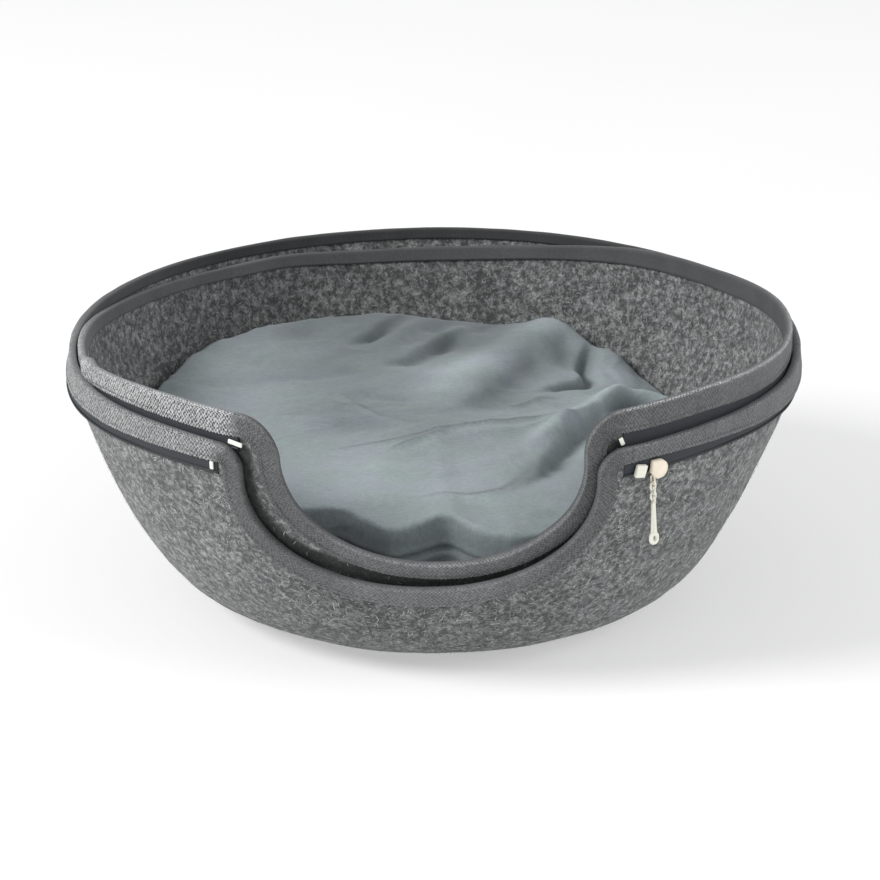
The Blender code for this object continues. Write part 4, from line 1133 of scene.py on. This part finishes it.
def frayed_ends():
    """A few yarn ends that stand up where the inner tape is lapped and half way to the notch."""
    edge = EDGES["inner"]
    rng = np.random.default_rng(12)
    points, faces, tones = [], [], []
    for centre, number in ((edge.run_at(-57.5), 7), (edge.run_at(-71.5), 4)):
        for _ in range(number):
            run = np.array([centre + rng.normal(0, 0.0016)])
            azimuth, along = edge.inside(run, np.array([0.0002]))
            base = surface(azimuth, along, felt_depth("inner", along) + 0.001)[0]
            up = np.array([rng.normal(0.25, 0.7), rng.normal(-0.2, 0.4), 1.0])
            up /= np.linalg.norm(up)
            side = np.cross(up, [0.2, 1.0, 0.1])
            side /= np.linalg.norm(side)
            size = rng.uniform(0.002, 0.0055)
            bend = rng.normal(0, 0.0014)
            first = len(points)
            for k in range(5):
                t = k / 4
                middle = base + up * size * t + side * bend * t * t
                wide = 0.00012 * (1.1 - t)
                points += [middle - side * wide, middle + side * wide]
                tones += [0.95, 0.95]
            faces += [[first + 2 * k, first + 2 * k + 1, first + 2 * k + 3, first + 2 * k + 2] for k in range(4)]
    made = new_mesh("inner_frayed_yarns", np.array(points), np.array(faces), tone=np.array(tones))
    return dress(made, FIBRE_LOOK)


# ---------------------------------------------------------------- cushion


def wall_radius(height):
    depth = float(felt_depth("inner", np.array(0.33))) + FELT
    heights = HEIGHT + depth * np.cos(SLOPE)
    radii = RADIUS - depth * np.sin(SLOPE)
    risen = np.nonzero(SLOPE > 0.02)[0]
    return np.interp(height, heights[risen], radii[risen]) - 0.0010


def cushion_outline(azimuth):
    """One side's profile as (radius, height) points, from the middle of the floor to the crown."""
    floor = FELT + 0.0005 + FELT + GAP
    crest = float(reading(CREST, "radius", azimuth))
    height = float(reading(CREST, "height", azimuth))
    turn = abs(math.degrees(azimuth))
    front = float(smooth_step((42 - turn) / 12))
    seam = (0.66 - 0.02 * front) * height
    wide = min(float(wall_radius(seam)) - 0.0030 - 0.0034 * front, crest + 0.015 - 0.0125 * front)
    keys = [(0.0, floor), (0.050, floor), (0.090, floor + 0.0002)]
    for level in (0.012, 0.022, 0.034, 0.046):
        if level < seam - 0.008:
            keys.append((min(float(wall_radius(level)) - 0.0030 - 0.003 * front, wide - 0.0012 * (seam - level) / 0.03), level))
    power = 2.15 + 3.3 * front
    for share in (-8, 0, 15, 30, 42, 52, 62, 75, 90):
        c, s = math.cos(math.radians(share)), math.sin(math.radians(share))
        out, rise = abs(c) ** (2 / power), math.copysign(abs(s) ** (2 / power), s)
        keys.append((crest + (wide - crest) * out, seam + (height - seam) * rise))
    for share in (0.97, 0.93, 0.86, 0.76, 0.62, 0.46, 0.30, 0.15, 0.0):
        keys.append((share * crest, height + (CUSHION_MIDDLE - height) * (1 - share**2) + 0.002 * (1 - share)))
    keys = np.array(keys)
    for _ in range(3):
        middle = (keys[1:] + keys[:-1]) / 2
        knots = np.empty((len(keys) + len(middle), 2))
        knots[0::2], knots[1::2] = keys, middle
        inner = knots.copy()
        inner[2:-2:2] = (knots[1:-3:2] + 2 * knots[2:-2:2] + knots[3:-1:2]) / 4
        keys = inner
    return keys


def fold_field(points, fold):
    """Height that one fold adds at points over the cushion's top, and the painted shade and highlight it lays on the
    cover there.
    """
    line = np.array(fold["line"], float) / 1000
    fine = np.linspace(0, len(line) - 1, 12 * (len(line) - 1) + 1)
    step = np.arange(len(line))
    bent = np.stack([np.interp(fine, step, line[:, i]) for i in (0, 1)], axis=1)
    for _ in range(40):
        bent[1:-1] = (bent[:-2] + 2 * bent[1:-1] + bent[2:]) / 4
    travel = np.concatenate([[0.0], np.cumsum(np.linalg.norm(np.diff(bent, axis=0), axis=1))])
    best = np.full(len(points), 1e9)
    place = np.zeros(len(points))
    side = np.zeros(len(points))
    far = np.zeros(len(points))
    for i in range(len(bent) - 1):
        a, b = bent[i], bent[i + 1]
        way = b - a
        away = points - a
        t = np.clip((away @ way) / (way @ way), 0, 1)
        gap = np.linalg.norm(away - t[:, None] * way, axis=1)
        closer = gap < best
        best = np.where(closer, gap, best)
        place = np.where(closer, travel[i] + t * (travel[i + 1] - travel[i]), place)
        side = np.where(closer, np.sign(way[0] * away[:, 1] - way[1] * away[:, 0]), side)
        gone = away - t[:, None] * way
        far = np.where(closer, gone[:, 1] * 0.95 + gone[:, 0] * 0.30, far)
    share = place / travel[-1]
    run_out = np.ones(len(points))
    if fold["ends"] in ("both", "first"):
        run_out = run_out * smooth_step(share / 0.3)
    if fold["ends"] in ("both", "last"):
        run_out = run_out * smooth_step((1 - share) / 0.35)
    lean = fold["lean"]
    reach = fold["width"] / 1000 * np.where(side * lean > 0, 1 - 0.45 * abs(lean), 1 + 0.6 * abs(lean))
    if fold["sharp"]:
        shape = np.exp(-(np.sqrt((best / reach) ** 2 * 1.6 + 0.05) - math.sqrt(0.05)))
        shape = shape * smooth_step(1 - best / (4 * reach))
    else:
        shape = np.exp(-((best / reach) ** 2))
    # Painted shade and highlight: a creased fold gets a painted dark line with painted shade behind it and a painted
    # light band ahead; a soft fold is painted darker in its hollow and lighter on its ridge.
    if fold["sharp"]:
        line = np.exp(-(((far - 0.0011) / 0.0014) ** 2))
        behind = np.exp(-np.abs(far - 0.002) / 0.006) * (far > 0.0)
        ahead = np.exp(-(((far + 0.0026) / 0.0030) ** 2))
        shade = (-0.40 * line - 0.15 * behind + 0.09 * ahead) * smooth_step(1 - (best / 0.016)) * fold["depth"] / 2.4
    else:
        strength = {"pocket": 0.050, "under_roll": 0.072, "roll": 0.036, "stream_ridge": 0.046, "broad_ridge": 0.070, "wedge": 0.040}.get(fold["name"], 0.028)
        shade = np.clip(fold["depth"] * strength, -0.58, 0.36 if strength > 0.028 else 0.10) * np.exp(-((best / reach) ** 2) * 1.3)
    return fold["depth"] / 1000 * shape * run_out, shade * run_out


def cushion():
    sides, levels = 500, 160
    profiles = []
    turns = np.arange(sides) * 2 * math.pi / sides - math.pi
    for azimuth in turns:
        keys = cushion_outline(azimuth)
        travel = np.concatenate([[0.0], np.cumsum(np.hypot(np.diff(keys[:, 0]), np.diff(keys[:, 1])))])
        floor_end = np.interp(0.088, keys[: len(keys) // 3, 0], travel[: len(keys) // 3])
        want = np.concatenate([np.linspace(0.004, floor_end, 9), np.linspace(floor_end, travel[-1] * 0.9975, levels - 8)[1:]])
        profiles.append(np.stack([np.interp(want, travel, keys[:, i]) for i in (0, 1)], axis=1))
    profiles = np.array(profiles).transpose(1, 0, 2)
    radius, height = profiles[..., 0], profiles[..., 1]
    points = np.stack([radius * np.sin(turns), CENTRE_Y - radius * np.cos(turns), height], axis=-1)
    count = points.shape[0]
    ahead = np.roll(points, -1, axis=1) - np.roll(points, 1, axis=1)
    up = np.gradient(points, axis=0)
    normal = np.cross(ahead, up)
    normal /= np.linalg.norm(normal, axis=-1)[..., None]
    crest_height = reading(CREST, "height", turns)
    crest_radius = reading(CREST, "radius", turns)
    degrees = np.degrees(turns)
    front = smooth_step((42 - np.abs(degrees)) / 12)
    top = smooth_step((height - 0.70 * crest_height) / 0.018) * (np.arange(count)[:, None] > 20)
    flat = points[..., :2].reshape(-1, 2)
    kept, faded, shade = np.zeros(len(flat)), np.zeros(len(flat)), np.zeros(len(flat))
    for fold in FOLDS:
        rise, tint = fold_field(flat, fold)
        if fold["edge"]:
            kept += rise
        else:
            faded += rise
        shade += tint
    shade = np.clip(shade, -0.60, 0.36).reshape(height.shape)
    inward = smooth_step((0.985 - radius / crest_radius) / 0.13)
    lift = (kept.reshape(height.shape) + faded.reshape(height.shape) * inward) * top
    body = points.reshape(-1, 3)
    warp = body + 0.02 * np.stack([layered(body, 0.08, 2, s) for s in (31, 37, 41)], axis=-1)
    soft = 0.0016 * layered(warp * np.array([1.0, 1.5, 1.0]), 0.060, 3, 51)
    slanted = np.stack([warp[:, 0] * 0.80 + warp[:, 1] * 0.60, (warp[:, 1] * 0.80 - warp[:, 0] * 0.60) * 0.42, warp[:, 2]], axis=-1)
    ruck = 1 - np.abs(noise(slanted, 0.017, 61))
    ruck_where = smooth_step(noise(body, 0.07, 81) + 0.35)
    soft = soft + 0.0010 * ruck**4 * ruck_where + 0.00030 * layered(body, 0.009, 2, 71)
    bunch = smooth_step((np.hypot(body[:, 0], body[:, 1] - CENTRE_Y) - 0.128) / 0.03) * smooth_step((np.abs(body[:, 0]) - 0.085) / 0.03)
    crimp = 1 - np.abs(noise(np.stack([warp[:, 0] * 0.5, warp[:, 1] * 1.0, warp[:, 2]], axis=-1), 0.0095, 65))
    soft = soft + 0.0011 * crimp**3 * bunch
    soft = soft.reshape(height.shape)
    side = smooth_step((height - 0.012) / 0.02)
    puff = smooth_step((height - 0.03) / 0.03) * (1 - top) * 0.0014 * np.cos(11 * turns + 2.2 * np.sin(5 * turns)) * (1 - front)
    shift = lift + soft * side * (1 - 0.45 * front * (1 - top)) + puff * side
    seam_height = 0.775 * crest_height
    seam_gap = (height - seam_height) / 0.0015
    outer = radius > 0.8 * crest_radius
    seam = -0.0015 * np.exp(-(seam_gap**2)) + 0.0007 * np.exp(-((np.abs(seam_gap) - 2.4) ** 2))
    shift = shift + seam * outer * (1 - smooth_step((height / crest_height - 0.93) / 0.05))
    points = points + normal * shift[..., None]
    points[..., 2] = np.maximum(points[..., 2], FELT + 0.0005 + FELT + GAP)
    # Stay inside the bowl.
    reach = np.hypot(points[..., 0], points[..., 1] - CENTRE_Y)
    most = wall_radius(np.maximum(points[..., 2], 0.010)) - 0.0012 - notch_stand(turns, np.interp(points[..., 2], HEIGHT, ALONG))
    shrink = np.minimum(1.0, most / np.maximum(reach, 1e-6))
    shrink = np.where(points[..., 2] < 0.012, 1.0, shrink)
    points[..., 0] *= shrink
    points[..., 1] = CENTRE_Y + (points[..., 1] - CENTRE_Y) * shrink
    # Painted light and shade on the cover, kept in nap: lighter towards the front and the right, darker towards the
    # back, with painted highlights on the right, the left and along the broad ridge, a random mottle, the folds'
    # painted shade and highlights, and painted shade on the front of the side wall.
    x, y = flat[:, 0].reshape(height.shape), flat[:, 1].reshape(height.shape)
    nap = np.interp(y, [-0.17, -0.10, -0.02, 0.06, 0.12, 0.19], [0.95, 0.89, 0.58, 0.47, 0.39, 0.35])
    nap = nap + 0.40 * smooth_step((x - 0.030) / 0.08) * smooth_step((y + 0.10) / 0.10) + 0.19 * smooth_step((-0.05 - x) / 0.08)
    nap = nap + 0.22 * np.exp(-(((x - 0.012) / 0.045) ** 2) - ((y - 0.052) / 0.050) ** 2)
    nap = nap + 0.07 * layered(body * np.array([1, 2.0, 1]), 0.05, 3, 91).reshape(height.shape)
    nap = nap * (1 + shade * top)
    # Painted shade on the front of the cover's side wall.
    wall = smooth_step((crest_height - 0.0012 - height) / 0.0028) * outer
    nap = nap * (1 - 0.14 * front * wall)
    nap = np.clip(nap, 0.12, 1.15)
    faces, _, _ = grid_faces(count, sides, wrap_columns=True)
    flatten = points.reshape(-1, 3)
    bottom = flatten[:sides].mean(axis=0)
    crown = flatten[-sides:].mean(axis=0)
    flatten = np.concatenate([flatten, [bottom], [crown]])
    index = np.arange(sides)
    after = (index + 1) % sides
    last = (count - 1) * sides
    low = np.stack([np.full(sides, len(flatten) - 2), after, index], axis=1)
    high = np.stack([np.full(sides, len(flatten) - 1), last + index, last + after], axis=1)
    middle_painted_light = float(nap[-1].mean())
    made = new_mesh("cushion_body", flatten, [*faces, *low, *high], tone=np.append(nap.ravel(), [0.6, middle_painted_light]))
    outward(made)
    dress(made, COVER_LOOK)
    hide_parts("cushion")
    return made


# ---------------------------------------------------------------- hard pieces


def copy_shape(node, name, look, coat=0.0):
    """A smooth copy of a small CAD piece under its coat of paint."""
    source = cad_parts[node]
    made = bpy.data.objects.new(name, source.data.copy())
    bpy.context.scene.collection.objects.link(made)
    grid = bmesh.new()
    grid.from_mesh(made.data)
    bmesh.ops.remove_doubles(grid, verts=grid.verts, dist=0.00002)
    bmesh.ops.dissolve_limit(grid, angle_limit=math.radians(4), verts=grid.verts, edges=grid.edges)
    grid.normal_update()
    for vert in grid.verts:
        vert.co += vert.normal * coat
    grid.to_mesh(made.data)
    grid.free()
    made.data.shade_smooth()
    made.data.set_sharp_from_angle(angle=math.radians(50))
    dress(made, look)
    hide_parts(node)
    return made


for half in ("outer", "inner"):
    felt = felt_half(half)
    tape = binding(half)
    zip_cloth, zip_coil = zip_half(half)
    seam = stitches(half)
    fibres(half, "out", 9500 if half == "outer" else 1500, 5)
    fibres(half, "in", 7500 if half == "inner" else 1500, 6)

frayed_ends()

cushion()

for node, look in (
    ("zip_pin", PIN_LOOK), ("zip_stop_left", PIN_LOOK), ("zip_stop_right", PIN_LOOK), ("zip_box", PAINT_LOOK),
    ("zip_slider", SLIDER_LOOK), ("chain_link_1", PAINT_LOOK), ("chain_link_2", PAINT_LOOK), ("chain_link_3", PAINT_LOOK), ("pull_bar", PAINT_LOOK),
):
    copy_shape(node, node + "_finish", look, coat=0.00012 if node.startswith(("chain", "pull")) else 0.0)

# ---------------------------------------------------------------- floor, light and camera

bpy.ops.mesh.primitive_plane_add(size=14.0, location=(0.0, 3.0, -0.0002))
floor = bpy.context.object
floor.name = "floor"
floor.data.materials.append(floor_material())

scene = bpy.context.scene
scene.view_settings.view_transform = "Standard"
world = bpy.data.worlds.new("studio")
scene.world = world
world.use_nodes = True
background = world.node_tree.nodes["Background"]
background.inputs["Color"].default_value = (0.985, 0.99, 1.0, 1.0)
background.inputs["Strength"].default_value = 0.52


def lamp(name, place, aim, size, power, colour=(1, 1, 1)):
    data = bpy.data.lights.new(name, "AREA")
    data.shape = "DISK"
    data.size = size
    data.energy = power
    data.color = colour
    made = bpy.data.objects.new(name, data)
    scene.collection.objects.link(made)
    made.location = place
    made.rotation_mode = "QUATERNION"
    made.rotation_quaternion = (Vector(aim) - Vector(place)).to_track_quat("-Z", "Y")
    return made


lamp("key", (-3.2, -1.25, 2.6), (0, 0, 0.08), 1.7, 150.0, (1.0, 0.995, 0.985))
lamp("fill", (3.4, -1.3, 2.2), (0, 0, 0.08), 2.4, 58.0)

camera_data = bpy.data.cameras.new("camera")
camera_data.sensor_width = 36.0
camera_data.lens = 129.53
camera_data.clip_end = 50.0
camera = bpy.data.objects.new("camera", camera_data)
scene.collection.objects.link(camera)
camera.location = (0.0026, -1.8916 + CENTRE_Y, 0.8104)
camera.rotation_euler = (math.radians(69.13), 0.0, 0.0)
scene.camera = camera
